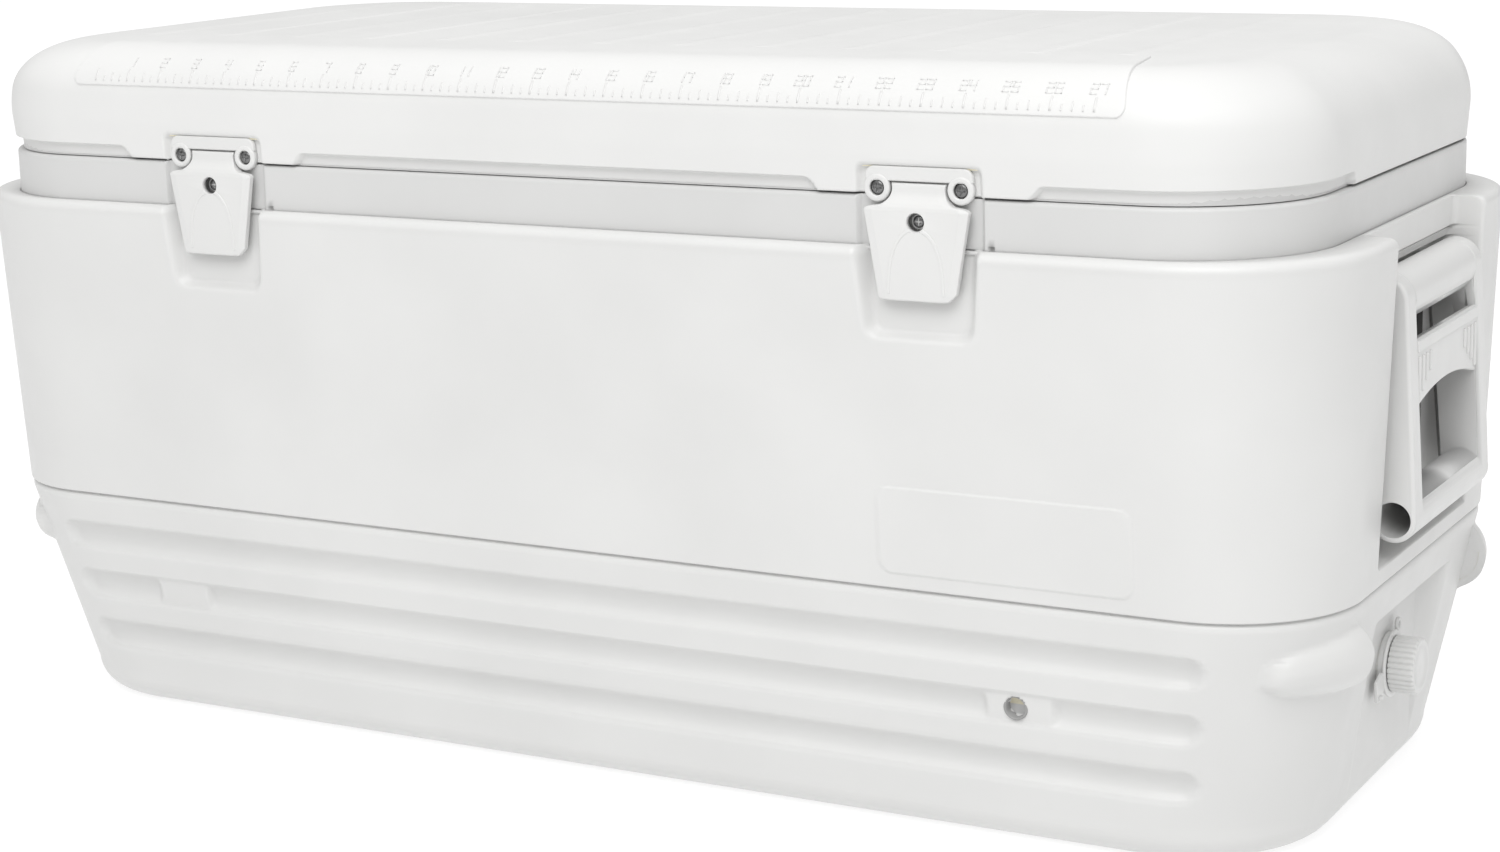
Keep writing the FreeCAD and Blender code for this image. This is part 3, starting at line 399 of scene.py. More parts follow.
def flute_depth(ring, level):
    """The three long flutes, and the flat pads and the hole in the middle one."""
    depth = np.zeros_like(ring["run"])
    for centre, half_span in FLUTES:
        past = np.maximum(ring["run"] - (half_span - FLUTE_RADIUS + 2), 0.0)
        away = np.hypot(past, level - centre)
        arc = np.sqrt(np.maximum(FLUTE_RADIUS ** 2 - away ** 2, 0.0)) - FLUTE_STAND_OFF
        depth = np.maximum(depth, soft_max(arc, 0 * arc, 0.6) - 0.15 * (away > 14))
    depth = np.maximum(depth, 0.0)
    front = ring["y"] < 0
    for centre in PADS:
        near = ease((PAD_HALF - np.abs(ring["x"] - centre)) / 4.5) * front
        flat = np.minimum(depth, PAD_DEEP)
        depth = np.where(abs(level - FLUTES[1][0]) < 14, depth + (flat - depth) * near, depth)
    away = np.hypot(ring["x"] - VENT[0], level - VENT[1])
    return np.where(front & (away < VENT[2] + 0.3), VENT_DEEP, depth)


def lobe_height(ring, level):
    """The bumper lobes that swell round each corner and end square."""
    from_end = np.degrees(math.pi / 2 - ring["turn"])
    share = np.clip(1.0 - (from_end + 2.0) / LOBE_TURN, 0.0, 1.0)
    nose = np.sqrt(1.0 - (1.0 - np.clip(share / 0.2, 0.0, 1.0)) ** 2) * ring["lobe"]
    tall, bend = (LOBE_UP, 1.9) if level > LOBE_LEVEL else (LOBE_DOWN, 2.8)
    half_height = tall * nose * (0.55 + 0.45 * share)
    across = np.abs(level - LOBE_LEVEL) / np.maximum(half_height, 0.01)
    swell = np.clip(1.0 - across ** bend, 0.0, 1.0)
    return LOBE_OUT * nose * (0.5 + 0.5 * share) * swell ** 0.85


def notch(ring, centres, half, from_end, full, shape):
    """The depth of flat-backed notches at some places along x.

    The shape is the rounding of the corners, the slope of the sides, and the rounding of the lip
    and of the back.
    """
    corner, slope, lip, back = shape
    depth = np.zeros_like(ring["x"])
    for centre in centres:
        inside = soft_min(half - np.abs(ring["x"] - centre), from_end, corner)
        ramp = soft_max(inside * slope, 0.0, lip)
        depth = np.maximum(depth, np.clip(soft_min(ramp, full, back), 0.0, full))
    return depth


def pocket_depth(ring, level, width):
    """The tapering pocket under each latch."""
    half = np.interp(level, (POCKET_FOOT + 1.5, SHOULDER_LEVEL), POCKET_HALF)
    full = max(width - POCKET_PLANE, 0.0)
    centres = (-LATCH_OFFSET, LATCH_OFFSET)
    return notch(ring, centres, half, level - POCKET_FOOT, full, (9.0, 1.7, 1.6, 2.0)) * (ring["y"] < 0)


def end_depth(ring, level, length):
    """The handle recess and the drain panel in each end."""
    if level < DRAIN_ROOF + 2.0:
        deep, middle, half = DRAIN_PANEL
        across = np.abs(ring["y"])
        flare = max(deep + 0.15 * (level - middle), 0.0) - np.maximum(across - half, 0.0)
        closing = float(ease((DRAIN_ROOF - level) / 2.2))
        return np.maximum(soft_max(flare, 0.0, 0.7), 0.0) * closing * ring["end"] * (across < 90)
    if level <= RECESS_FOOT:
        return np.zeros_like(ring["x"])
    back = RECESS_BACK
    if level > LEDGE - 6.0:
        back = PIVOT_WALL
    slit_high, slit_back = SLIT
    back -= (PIVOT_WALL - slit_back) * float(ease((level - LEDGE + slit_high) / 0.5))
    back += (LEDGE_BACK - slit_back) * float(ease((level - LEDGE) / 0.5))
    if level < 200:
        x, z, slope = SILL
        back = soft_max(back, x + (z - level) * slope, 1.6)
    full = max(length - back, 0.0)
    climb = full * (1 - ring["share"]) - ring["constant"] * min(1.0, full / 12.0)
    return np.clip(climb, 0.0, full) * ring["end"]


def badge_height(ring, level):
    """The blank raised plate on the front."""
    x, z, half_x, half_z, corner = BADGE
    inside = -rounded_box(ring["x"] - x, level - z, half_x, half_z, corner)
    return BADGE_RISE * ease(inside / 1.3) * (ring["y"] < 0)


def belt_step(level):
    """The rounded upper edge of the skirt and the narrow groove above it."""
    deep, high = BELT_ROLL
    if level > BELT_LEVEL:
        return deep * (1.0 - float(ease((level - BELT_LEVEL - 0.5) / 1.3)))
    rise = max(0.0, (level - (BELT_LEVEL - high)) / high)
    return deep * (1.0 - math.sqrt(max(0.0, 1.0 - rise * rise)))


def body_ring(level, inset=0.0, size_level=None, sizes=None):
    """One finished ring of the body's outside."""
    base = sizes or body_size(level if size_level is None else size_level)
    length, width, corner = [value - inset for value in base]
    ring = outline(length, width, corner)
    reach = lobe_height(ring, level) + badge_height(ring, level) - belt_step(level)
    reach = reach - flute_depth(ring, level) - pocket_depth(ring, level, width)
    return ring_points(ring, level, reach - end_depth(ring, level, length))


BODY_LEVELS = spread((20, 40, 4), (40, 61, 1.5), (61, 76, 3), (76, 97, 1.2), (97, 110, 1.6), (110, 124, 1.4),
                     (124, 131, 0.6), (131, 145, 2.0), (145.4, 153.4, 0.45), (153.5, 160.2, 1.2),
                     (160.2, 163, 0.55), (163, 173, 1.0), (173, 211, 4.2), (211, 216, 0.55), (216, 292, 6),
                     (292, 312, 1.3), (312, 327, 3), (327, 336, 0.35), (336, 346.9, 2.4))


def body_shell():
    """The outside of the chest as one dense skin."""
    rings = []
    for inset in (60.0, 24.0):
        rings.append(body_ring(0.0, FOOT_ROUND + inset, FOOT_ROUND))
    for level, within in rounding(FOOT_ROUND, 9, 90.0, 10.0):
        rings.append(body_ring(level, within, FOOT_ROUND))
    for level in BODY_LEVELS:
        rings.append(body_ring(float(level)))
    for below, within in rounding(SHOULDER_ROUND, 8):
        rings.append(body_ring(SHOULDER_LEVEL - below, within, SHOULDER_LEVEL - 1.0))
    for spare, drop in ((RIM_GROOVE, 0.0), (RIM_GROOVE - 0.2, 0.3), (RIM_GROOVE - 0.2, 1.8), (-4.0, 1.8)):
        sizes = [value + spare for value in RIM]
        rings.append(body_ring(SHOULDER_LEVEL - drop, sizes=sizes))
    count = len(rings[0])
    faces = list(grid_faces(len(rings), count))
    faces.append(tuple(range(count - 1, -1, -1)))
    return thicken(new_mesh("chest_shell", np.concatenate(rings), faces), SHELL_WALL)


# ---- lid

LID_LOW = 381.8
LID_BELLY = 404.0
LID_TOP = 451.6
LID_SIZE = (458.5, 210.0, 88.0)  # half length, half width and corner radius at the belly
LID_WALL = 1.8
LID_FLARE = 1.5  # how much smaller the lower edge is
END_ROUND = (54.0, 46.0)  # how far the rounding runs in from the ends, and how far down
FRONT_ROUND = (38.0, 30.0)
BACK_ROUND = (24.0, 17.0)
FRONT_ARC = 53.5  # the length over the front rounding
TOP_CORNER = 72.0
FINGER_TOP = 389.6
FINGER_DEEP = 4.2
LATCH_NOTCH = (38.6, 398.6, 205.2)  # half width, top level and the plane of its back
HINGE_NOTCH = (33.5, 404.5, 206.9)
HINGE_SPACING = 300.0
LID_FRONT = spread((0, 165, 3), (165, 190, 1.5), (190, 204, 2), (204, 212, 1), (212, 280, 4), (280, 288, 1),
                   (288, 304, 3), (304, 326, 1.5), (326, 372, 3), (372, 400, 7))
LID_SHARES = (0.0, 0.02, 0.06, 0.12, 0.2, 0.27, 0.31, 0.33, 0.35, 0.37, 0.39, 0.41, 0.44, 0.5, 0.55, 0.62,
              0.68, 0.74, 0.8, 0.9, 1.0)


def quarter_drop(level, top, across, down):
    """How far an elliptical rounding has drawn in at one level."""
    rise = np.clip((level - (top - down)) / down, 0.0, 1.0)
    return across * (1.0 - math.sqrt(max(0.0, 1.0 - rise * rise)))


def lid_size(level):
    """Half length, half width, corner radius and shift along y of the lid at one level."""
    length, width, corner = LID_SIZE
    flare = LID_FLARE * max(0.0, (LID_BELLY - level) / (LID_BELLY - LID_LOW))
    length -= flare + quarter_drop(level, LID_TOP, *END_ROUND)
    front = flare + quarter_drop(level, LID_TOP, *FRONT_ROUND)
    back = flare + quarter_drop(level, LID_TOP, *BACK_ROUND)
    high = max(0.0, (level - LID_BELLY) / (LID_TOP - LID_BELLY))
    return length, width - (front + back) / 2, corner - (corner - TOP_CORNER) * high ** 2, (front - back) / 2


def finger_depth(ring, level):
    """The long recesses for fingertips along the lid's lower front edge, with soft S-shaped ends."""
    x = np.abs(ring["x"])
    middle = ease((186.0 - x) / 12.0)
    outer = ease((x - 309.0) / 12.0) * ease((-ring["y"] - 92.0) / 9.0)
    top = LID_LOW - 1.5 + (FINGER_TOP + 1.5 - LID_LOW) * np.maximum(middle, outer)
    return FINGER_DEEP * ease((top - level) / 1.1) * (ring["y"] < 0)


def lid_pockets(ring, level, width):
    """The notches in the lid that the latches and the hinges sit in."""
    half, top, plane = LATCH_NOTCH
    full = max(width - plane, 0.0)
    front = notch(ring, (-LATCH_OFFSET, LATCH_OFFSET), half, top - level, full, (5.0, 1.8, 0.8, 1.0))
    half, top, plane = HINGE_NOTCH
    full = max(width - plane, 0.0)
    back = notch(ring, (-HINGE_SPACING, 0.0, HINGE_SPACING), half, top - level, full, (4.0, 1.8, 0.8, 1.0))
    return np.maximum(front * (ring["y"] < 0), back * (ring["y"] > 0))


def lid_ring(level):
    """One finished level ring of the lid's outside."""
    length, width, corner, shift = lid_size(level)
    ring = outline(length, width, corner, LID_FRONT, shift)
    return ring_points(ring, level, -np.maximum(lid_pockets(ring, level, width), finger_depth(ring, level)))


def coons(front, right, back, left):
    """Fills the space inside four joined edges; front and back run +x, left and right run +y."""
    u = ((front[:, 0] - front[0, 0]) / (front[-1, 0] - front[0, 0]))[:, None, None]
    v = ((right[:, 1] - right[0, 1]) / (right[-1, 1] - right[0, 1]))[None, :, None]
    ruled = (1 - v) * front[:, None] + v * back[:, None] + (1 - u) * left[None] + u * right[None]
    corners = ((1 - u) * (1 - v) * front[0] + u * (1 - v) * front[-1]
               + (1 - u) * v * back[0] + u * v * back[-1])
    return ruled - corners


def fill_top(ring, start):
    """Points and quads for the flat top inside the last ring, sharing that ring's points."""
    count = len(ring)
    quarter = count // 4
    corner = len(LID_FRONT) + len(TURN_STATIONS) // 2
    near_right = corner
    far_right = 2 * quarter - corner
    far_left = 2 * quarter + corner
    near_left = count - corner
    index_front = np.concatenate([np.arange(near_left, count), np.arange(0, near_right + 1)])
    index_right = np.arange(near_right, far_right + 1)
    index_back = np.arange(far_right, far_left + 1)[::-1]
    index_left = np.arange(far_left, near_left + 1)[::-1]
    patch = coons(ring[index_front], ring[index_right], ring[index_back], ring[index_left])
    wide, deep = patch.shape[:2]
    number = np.zeros((wide, deep), int)
    number[:, 0] = start + index_front
    number[:, -1] = start + index_back
    number[0, :] = start + index_left
    number[-1, :] = start + index_right
    number[1:-1, 1:-1] = start + count + np.arange((wide - 2) * (deep - 2)).reshape(wide - 2, deep - 2)
    quads = np.stack([number[:-1, :-1], number[1:, :-1], number[1:, 1:], number[:-1, 1:]], axis=-1)
    return patch[1:-1, 1:-1].reshape(-1, 3), quads.reshape(-1, 4)


RULER = (6.0, 363.0, 6.5, 103.0, 9.0)  # middle x, half length, lower and upper run, corner radius
RULER_RISE = 1.1
RULER_TAPER = 20.0  # how much each end draws in towards the panel's upper edge
RIB_SPACING = 58.0
RIB_START = -17.6
RIB_RISE = 0.7
RIB_LIMITS = (388.0, 168.0)  # where the ribs end, along the lid and towards its back


def front_run(points):
    """Distance over the front rounding of the lid, measured back from its lower end."""
    across, down = FRONT_ROUND
    centre = LID_SIZE[1] - across
    turn = np.arctan2((points[:, 2] - (LID_TOP - down)) / down, (-points[:, 1] - centre) / across)
    curved = np.clip(turn / (math.pi / 2), -0.5, 1.0) * FRONT_ARC
    return np.where(-points[:, 1] > centre, curved, FRONT_ARC + points[:, 1] + centre)


def lid_relief(points):
    """Shallow ribs across the top behind the ruler panel."""
    x = points[:, 0]
    run = front_run(points)
    phase = (x - RIB_START + RIB_SPACING / 2) % RIB_SPACING - RIB_SPACING / 2
    rib = RIB_RISE * ease((7.0 - np.abs(phase)) / 3.5)
    reach = ease((run - RULER[3] - 6.0) / 4.0) * ease((RIB_LIMITS[1] - points[:, 1]) / 4.0)
    return rib * reach * ease((RIB_LIMITS[0] - np.abs(x)) / 12.0)


def lid_shell():
    """The outside of the lid as one dense skin."""
    rings = [lid_ring(LID_LOW + (LID_BELLY - LID_LOW) * share) for share in LID_SHARES]
    rings[0][:, :2] *= 0.9975
    for share in np.sin(np.radians(np.linspace(3, 90, 30))):
        rings.append(lid_ring(LID_BELLY + (LID_TOP - LID_BELLY) * float(share)))
    count = len(rings[0])
    start = (len(rings) - 1) * count
    inner, quads = fill_top(rings[-1], start)
    points = np.concatenate(rings + [inner])
    faces = np.concatenate([grid_faces(len(rings), count), quads])
    piece = new_mesh("lid_skin", points, faces)
    moved = points + vertex_normals(piece.data) * lid_relief(points)[:, None]
    piece.data.vertices.foreach_set("co", (moved * MM).astype(np.float32).ravel())
    piece.data.update()
    return thicken(piece, LID_WALL)


# ---- ruler on the lid

INCH = 25.4
RULER_ZERO = -336.0
RULER_INCHES = 27
TICK = (0.6, 1.42)  # half width of a tick, and how far it stands above the lid
TICK_FOOT = 10.0
TICK_TALL = (9.0, 4.0, 6.0, 4.0)  # for whole, quarter, half and three-quarter inches
DIGIT_FOOT = 21.0
DIGIT_TALL = 7.0
STROKE = 0.35  # half width of a digit's stroke


def lid_point(x, run, rise):
    """A point above the front rounding of the lid, given the distance run up over it."""
    across, down = FRONT_ROUND
    turn = min(run / FRONT_ARC, 1.0) * math.pi / 2
    beyond = max(run - FRONT_ARC, 0.0)
    y = -(LID_SIZE[1] - across + (across + rise) * math.cos(turn)) + beyond
    z = LID_TOP - down + (down + rise) * math.sin(turn)
    return x, y, z


def ruler_bar(x, low, high, half, rise):
    """A thin raised bar that follows the lid's rounding."""
    section = ((-half, RULER_RISE - 0.4), (half, RULER_RISE - 0.4), (half, rise), (-half, rise))
    return close_rings([np.array([lid_point(x + across, run, up) for across, up in section])
                        for run in np.linspace(low, high, 5)])


# the ends of each straight stroke of a digit, on a grid one wide and two tall
STROKES = {"a": (0, 2, 1, 2), "b": (1, 1, 1, 2), "c": (1, 0, 1, 1), "d": (0, 0, 1, 0), "e": (0, 0, 0, 1),
           "f": (0, 1, 0, 2), "g": (0, 1, 1, 1)}
DIGITS = ("abcdef", "bc", "abged", "abgcd", "fgbc", "afgcd", "afgedc", "abc", "abcdefg", "abcdfg")


def digit_bars(number, x, rise):
    """A number in plain straight strokes."""
    forms = []
    text = str(number)
    wide = DIGIT_TALL / 2
    left = x - (len(text) * wide * 1.5 - wide * 0.5) / 2
    for place, figure in enumerate(text):
        for stroke in DIGITS[int(figure)]:
            x0, z0, x1, z1 = STROKES[stroke]
            centre = left + place * wide * 1.5 + wide * (x0 + x1) / 2
            start = DIGIT_FOOT + z0 * wide - STROKE
            end = DIGIT_FOOT + z1 * wide + STROKE
            forms.append(ruler_bar(centre, start, end, wide * (x1 - x0) / 2 + STROKE, rise))
    return forms


def ruler_panel():
    """The raised plate the marks stand on: a rounded rectangle that follows the lid's rounding."""
    middle, half, low, high, corner = RULER
    tall = high - low
    edge = [0.0, 0.25, 0.5, 0.8, 1.2, 2.5, 5.0, 9.0]
    runs = edge + list(np.linspace(13.0, tall - 13.0, 16)) + [tall - step for step in edge[::-1]]
    shares = [step / half for step in edge] + list(np.linspace(0.08, 1.0, 12))
    shares = shares + [2.0 - share for share in shares[-2::-1]]
    rows = []
    for run in runs:
        past = max(corner - run, 0.0)
        reach = half - corner + math.sqrt(max(corner ** 2 - past ** 2, 0.0)) - RULER_TAPER * run / tall
        row = []
        for share in shares:
            x = reach * (share - 1.0)
            inside = min(reach - abs(x), run, tall - run)
            rise = -0.4 + (RULER_RISE + 0.4) * float(ease(inside / 0.9))
            row.append(lid_point(middle + x, low + run, rise))
        rows.append(row)
    return np.array(rows).reshape(-1, 3), sheet_faces(len(rows), len(shares))


def ruler_marks():
    """The plate with a tick at each quarter inch and a number at each inch."""
    forms = [ruler_panel()]
    half, rise = TICK
    for step in range(4 * RULER_INCHES + 1):
        x = RULER_ZERO + step * INCH / 4
        wide = half if step % 4 == 0 else half * 0.7
        forms.append(ruler_bar(x, TICK_FOOT, TICK_FOOT + TICK_TALL[step % 4], wide, rise))
        if step % 4 == 0 and step:
            forms += digit_bars(step // 4, x, rise)
    return build("ruler_marks", forms)


# ---- tub, insulation and vent

DRAIN_LEVEL = 81.5
TUB = (434.0, 184.0, 62.0)  # half length, half width and corner radius at the mouth
TUB_DRAFT = 9.0  # how much each side draws in towards the floor
TUB_WALL = 2.8
TUB_FLOOR = 48.0
TUB_FILLET = 24.0
TUB_BORE = 12.0
RIM_TOP = 380.5
RIM_ROUND = 2.2
MOUTH_ROUND = 4.0
FOAM_GAP = 4.5  # how far the foam stays inside the shell's outer face


def rim_reach(ring, level, loss):
    """The shallow channels behind the latches, and the small slot beside each one under the rim."""
    depth = np.zeros_like(ring["x"])
    for side in (-1, 1):
        past = ring["x"] - side * LATCH_OFFSET
        depth = np.maximum(depth, (RIM[1] - POCKET_PLANE) * ease((38.9 - np.abs(past)) / 0.8))
        if level < 355.0:
            depth = np.maximum(depth, 2.6 * ease((1.9 - np.abs(past - 43.0)) / 0.6))
    return -np.maximum(depth - loss, 0.0) * (ring["y"] < 0)


def rim_ring(level, loss):
    """A ring on the outside of the rim, drawn in by the loss."""
    ring = outline(*[value - loss for value in RIM])
    return ring_points(ring, level, rim_reach(ring, level, loss))


def tub_wall_ring(level, grow):
    """A ring on the tapering wall of the tub, grown or drawn in."""
    draft = TUB_DRAFT * (RIM_TOP - level) / (RIM_TOP - TUB_FLOOR)
    length, width, corner = [value + grow - draft for value in TUB]
    return ring_points(outline(length, width, max(corner, 18.0)), level)


def floor_rings(floor_level, radius, grow):
    """The rounded corner between the tub's wall and its floor, from the wall inwards."""
    return [tub_wall_ring(floor_level + above, grow - within) for above, within in rounding(radius, 10)]


def tub():
    """The tub and its rim as one closed wall, with the hole for the drain."""
    rings = floor_rings(TUB_FLOOR - TUB_WALL, TUB_FILLET + TUB_WALL, TUB_WALL)[::-1]
    rings += [tub_wall_ring(level, TUB_WALL) for level in (140.0, 250.0, RIM_TOP - 3.0)]
    rings.append(rim_ring(RIM_TOP - 3.0, 5.5))
    rings += [rim_ring(SHOULDER_LEVEL - 1.2, loss) for loss in (5.5, 0.3)]
    rings += [rim_ring(level, 0.0) for level in (352.0, 353.5, 354.7, 355.1, 360.0, 370.0, 377.3)]
    rings += [rim_ring(RIM_TOP - below, within) for below, within in rounding(RIM_ROUND, 7)]
    rings += [tub_wall_ring(RIM_TOP - below, within) for within, below in rounding(MOUTH_ROUND, 7)]
    rings += [tub_wall_ring(float(level), 0.0) for level in np.linspace(360.0, 90.0, 10)]
    rings += floor_rings(TUB_FLOOR, TUB_FILLET, 0.0)
    piece = build("tub", [close_rings(rings)])
    bore = put(turned([(TUB_BORE, 395.0), (TUB_BORE, 455.0)]), (0.0, 0.0, DRAIN_LEVEL), "end")
    return carve(piece, build("tool", [bore]), overlapping=False)


def tub_ring(level, loss):
    """The outside of the tub, where the insulation ends."""
    return tub_wall_ring(level, TUB_WALL + 0.4 - loss)


def body_insulation():
    """The foam between shell and tub: the shell's form drawn in, and the tub's outside."""
    rings = []
    for level, within in rounding(FOOT_ROUND, 5, 90.0, 10.0):
        rings.append(body_ring(level, within, FOOT_ROUND))
    for level in spread((22, 40, 6), (40, 132, 3), (132, 160, 4), (160, 300, 10), (300, 346, 4)):
        rings.append(body_ring(float(level)))
    rings.append(body_ring(SHOULDER_LEVEL - 0.5, 3.0, SHOULDER_LEVEL))
    outer = new_mesh("insulation_outer", np.concatenate(rings), grid_faces(len(rings), len(rings[0])))
    skin = np.concatenate(rings) - FOAM_GAP * vertex_normals(outer.data)
    bpy.data.objects.remove(outer)
    skin[:, 2] = np.clip(skin[:, 2], 4.0, 347.0)
    inner = [tub_ring(level, loss) for level, loss in ((346, 0), (90, 0), (62, 3), (50, 12), (45, 26))]
    return new_mesh("insulation", *close_rings(np.split(skin, len(rings)) + inner))


def vent_liner():
    """The clean round wall of the small hole in the middle flute."""
    x, z, radius = VENT
    floor_deep = VENT_DEEP - 0.6
    profile = [(radius, 0.0), (radius + 1.1, 0.0), (radius + 1.6, 0.5), (radius + 1.6, VENT_DEEP),
               (0.01, VENT_DEEP), (0.01, floor_deep), (radius, floor_deep)]
    face = -(body_size(z)[1] - 1.35)
    return build("vent_liner", [put(turned(profile, hollow=True), (x, face, z), "back")])


# ---- latches

EAR = (25.5, 385.0)  # offset from the latch's middle, and level, of each ear screw
EYE_CLEAR = 9.3  # radius of the hollow in the flap round each ear
STRAP_PLANE = 205.2
STRAP_SCREW = (206.8, 4.1, 1.5)  # where its head starts, its radius and how tall it is
POST_LEVEL = 367.0
POST_SCREW = (208.0, 3.6, 1.2)


def screw_form(radius, tall):
    """A low domed screw head."""
    dome = ((0.92, -1.5), (1.0, 0.0), (0.97, tall * 0.45), (0.8, tall * 0.8), (0.5, tall))
    profile = [(radius * share, depth) for share, depth in dome]
    return turned(profile + [(0.01, tall * 1.05)], segments=32)


def cross_tools(x, front, z, radius):
    """The two arms of a cross recess."""
    tools = []
    for wide, high in ((radius * 0.62, radius * 0.16), (radius * 0.16, radius * 0.62)):
        arm = plate(np.array([(-wide, -high), (wide, -high), (wide, high), (-wide, high)]), 3.0, 0.05, 2)
        tools.append(build("tool", [put(arm, (x, front + 1.1, z), "front")]))
    return tools


def screw(name, x, z, shape):
    """A screw with a cross recess, facing the front."""
    start, radius, tall = shape
    piece = build(name, [put(screw_form(radius, tall), (x, -start, z), "front")])
    return carve(piece, *cross_tools(x, -start - tall, z, radius))


def latch_strap(name, middle):
    """The fixed upper strip of a latch, with a raised eye round each screw."""
    line = round_corners([(-33.0, 388.9, 1.2), (33.0, 388.9, 1.2), (32.6, 397.2, 5.6),
                                    (-32.6, 397.2, 5.6)], 10)
    forms = [put(plate(line, 3.6, 1.1), (middle, -STRAP_PLANE, 0), "front")]
    eye = [(4.4, 0.0), (8.0, 0.0), (8.0, 3.0), (7.7, 3.7), (6.9, 4.1), (5.4, 4.1), (4.7, 3.8), (4.4, 3.2)]
    for side in (-1, 1):
        forms.append(put(turned(eye, hollow=True), (middle + side * EAR[0], -STRAP_PLANE, EAR[1]), "front"))
    return build(name, forms)


FLAP_LEVELS = spread((322.8, 324.2, 0.35), (324.2, 328.6, 0.9), (328.6, 372, 8), (372, 380, 0.5),
                     (380, 388.8, 0.8))


def flap_half(level):
    """Half width of a flap: tapered below, hollowed round the eyes above."""
    if level < 373.0:
        return 23.4 + (32.0 - 23.4) * (level - 323.0) / 50.0
    if level < 375.6:
        return 32.0 - 7.2 * (1.0 - math.sqrt(max(0.0, 1.0 - ((level - 373.0) / 2.6) ** 2)))
    return EAR[0] - math.sqrt(max(0.0, EYE_CLEAR ** 2 - (level - EAR[1]) ** 2))


def latch_flap(name, middle):
    """The swinging flap of a latch, sloping forward from its hinge."""
    rings = []
    for level in FLAP_LEVELS:
        half = flap_half(level)
        shrink = 1.1 * (1.0 - math.sqrt(1.0 - min(1.0, max(0.0, (324.0 - level) / 1.2)) ** 2))
        right = half - shrink - 4.4 * max(0.0, (327.6 - level) / 4.8)
        left = half - shrink - 1.2 * max(0.0, (324.6 - level) / 1.8)
        front = float(np.interp(level, (373, 375, 377, 379, 381, 383, 387, 388.2, 388.7),
                                (213.6, 213.2, 212.3, 211.0, 209.9, 209.3, 208.9, 208.4, 207.7))) - shrink
        back = float(np.interp(level, (372, 376, 378, 388, 388.7), (209.0, 208.0, 205.6, 205.6, 206.6)))
        bevel = min(5.0, half * 0.3)
        drop = 0.9 if level < 376 else 0.2
        corners = [(-left, -back, 0.5), (-left, -front + drop, 0.8), (-left + bevel, -front, 1.6),
                   (right - bevel, -front, 1.6), (right, -front + drop, 0.8), (right, -back, 0.5)]
        rings.append(level_ring(round_corners(corners, 5), level))
    forms = [put(close_rings(rings), (middle, 0, 0), "top"), put(arch_ridge(), (middle, -213.5, 0), "front")]
    hole = [(5.1, -3.0), (5.1, 12.2), (5.5, 12.9), (6.4, 14.0), (6.4, 16.0)]
    tool = build("tool", [put(turned(hole), (middle, -200.5, POST_LEVEL), "front")])
    return carve(build(name, forms), tool)


def arch_ridge():
    """A low rounded arch on the face of a flap, open at its foot."""
    turns = np.linspace(0, math.pi, 33)
    outer = np.stack([17.6 * np.cos(turns), 327.0 + 37.5 * np.sin(turns) ** 0.8], axis=1)
    inner = np.stack([15.9 * np.cos(turns), 327.0 + 35.2 * np.sin(turns) ** 0.8], axis=1)[::-1]
    rings = []
    for share, rise in ((0.0, -0.4), (0.0, 0.15), (0.25, 0.42), (0.45, 0.5)):
        middle_line = (outer + inner[::-1]) / 2
        near = outer + (middle_line - outer) * share
        far = inner + (middle_line[::-1] - inner) * share
        rings.append(level_ring(np.concatenate([near, far]), rise))
    return close_rings(rings)


def latch_post(name, middle):
    """The post under a flap's hole, seen through it."""
    profile = [(6.6, 0.0), (6.6, 1.2), (4.6, 1.6), (4.4, 3.4), (4.0, 3.8), (0.01, 3.8)]
    return build(name, [put(turned(profile), (middle, -POCKET_PLANE, POST_LEVEL), "front")])


# ---- handles

PIVOT = (468.2, 314.0, 15.4)  # x, level and radius of the barrel
GRIP = (477.4, 189.6, 13.4)  # the same for the grip tube
GRIP_BORE = 10.4  # radius of the hole through the tube
ARM = (61.5, 78.0)  # |y| of an arm's two faces
PANEL = (479.4, 484.8, 250.0, 291.0)  # back, front, foot and top
PANEL_HALF = 64.0
PANEL_ARCH = 9.0
RIB_PITCH = 7.4
RIB_HALF = 1.5
RIB_TOP = 281.0


def arm_outline():
    """The line round pivot and grip, seen from the side."""
    lean = math.atan2(GRIP[0] - PIVOT[0], PIVOT[1] - GRIP[1])
    points = []
    for (x, z, radius), start in ((GRIP, 180), (PIVOT, 0)):
        for step in np.linspace(0, 180, 22):
            angle = math.radians(start + step) + lean
            points.append((x + radius * math.cos(angle), z + radius * math.sin(angle)))
    return np.array(points)


def arch_level(across):
    """The arched lower edge of the handle's panel."""
    return PANEL[2] + PANEL_ARCH * (1 - (across / PANEL_HALF) ** 2)


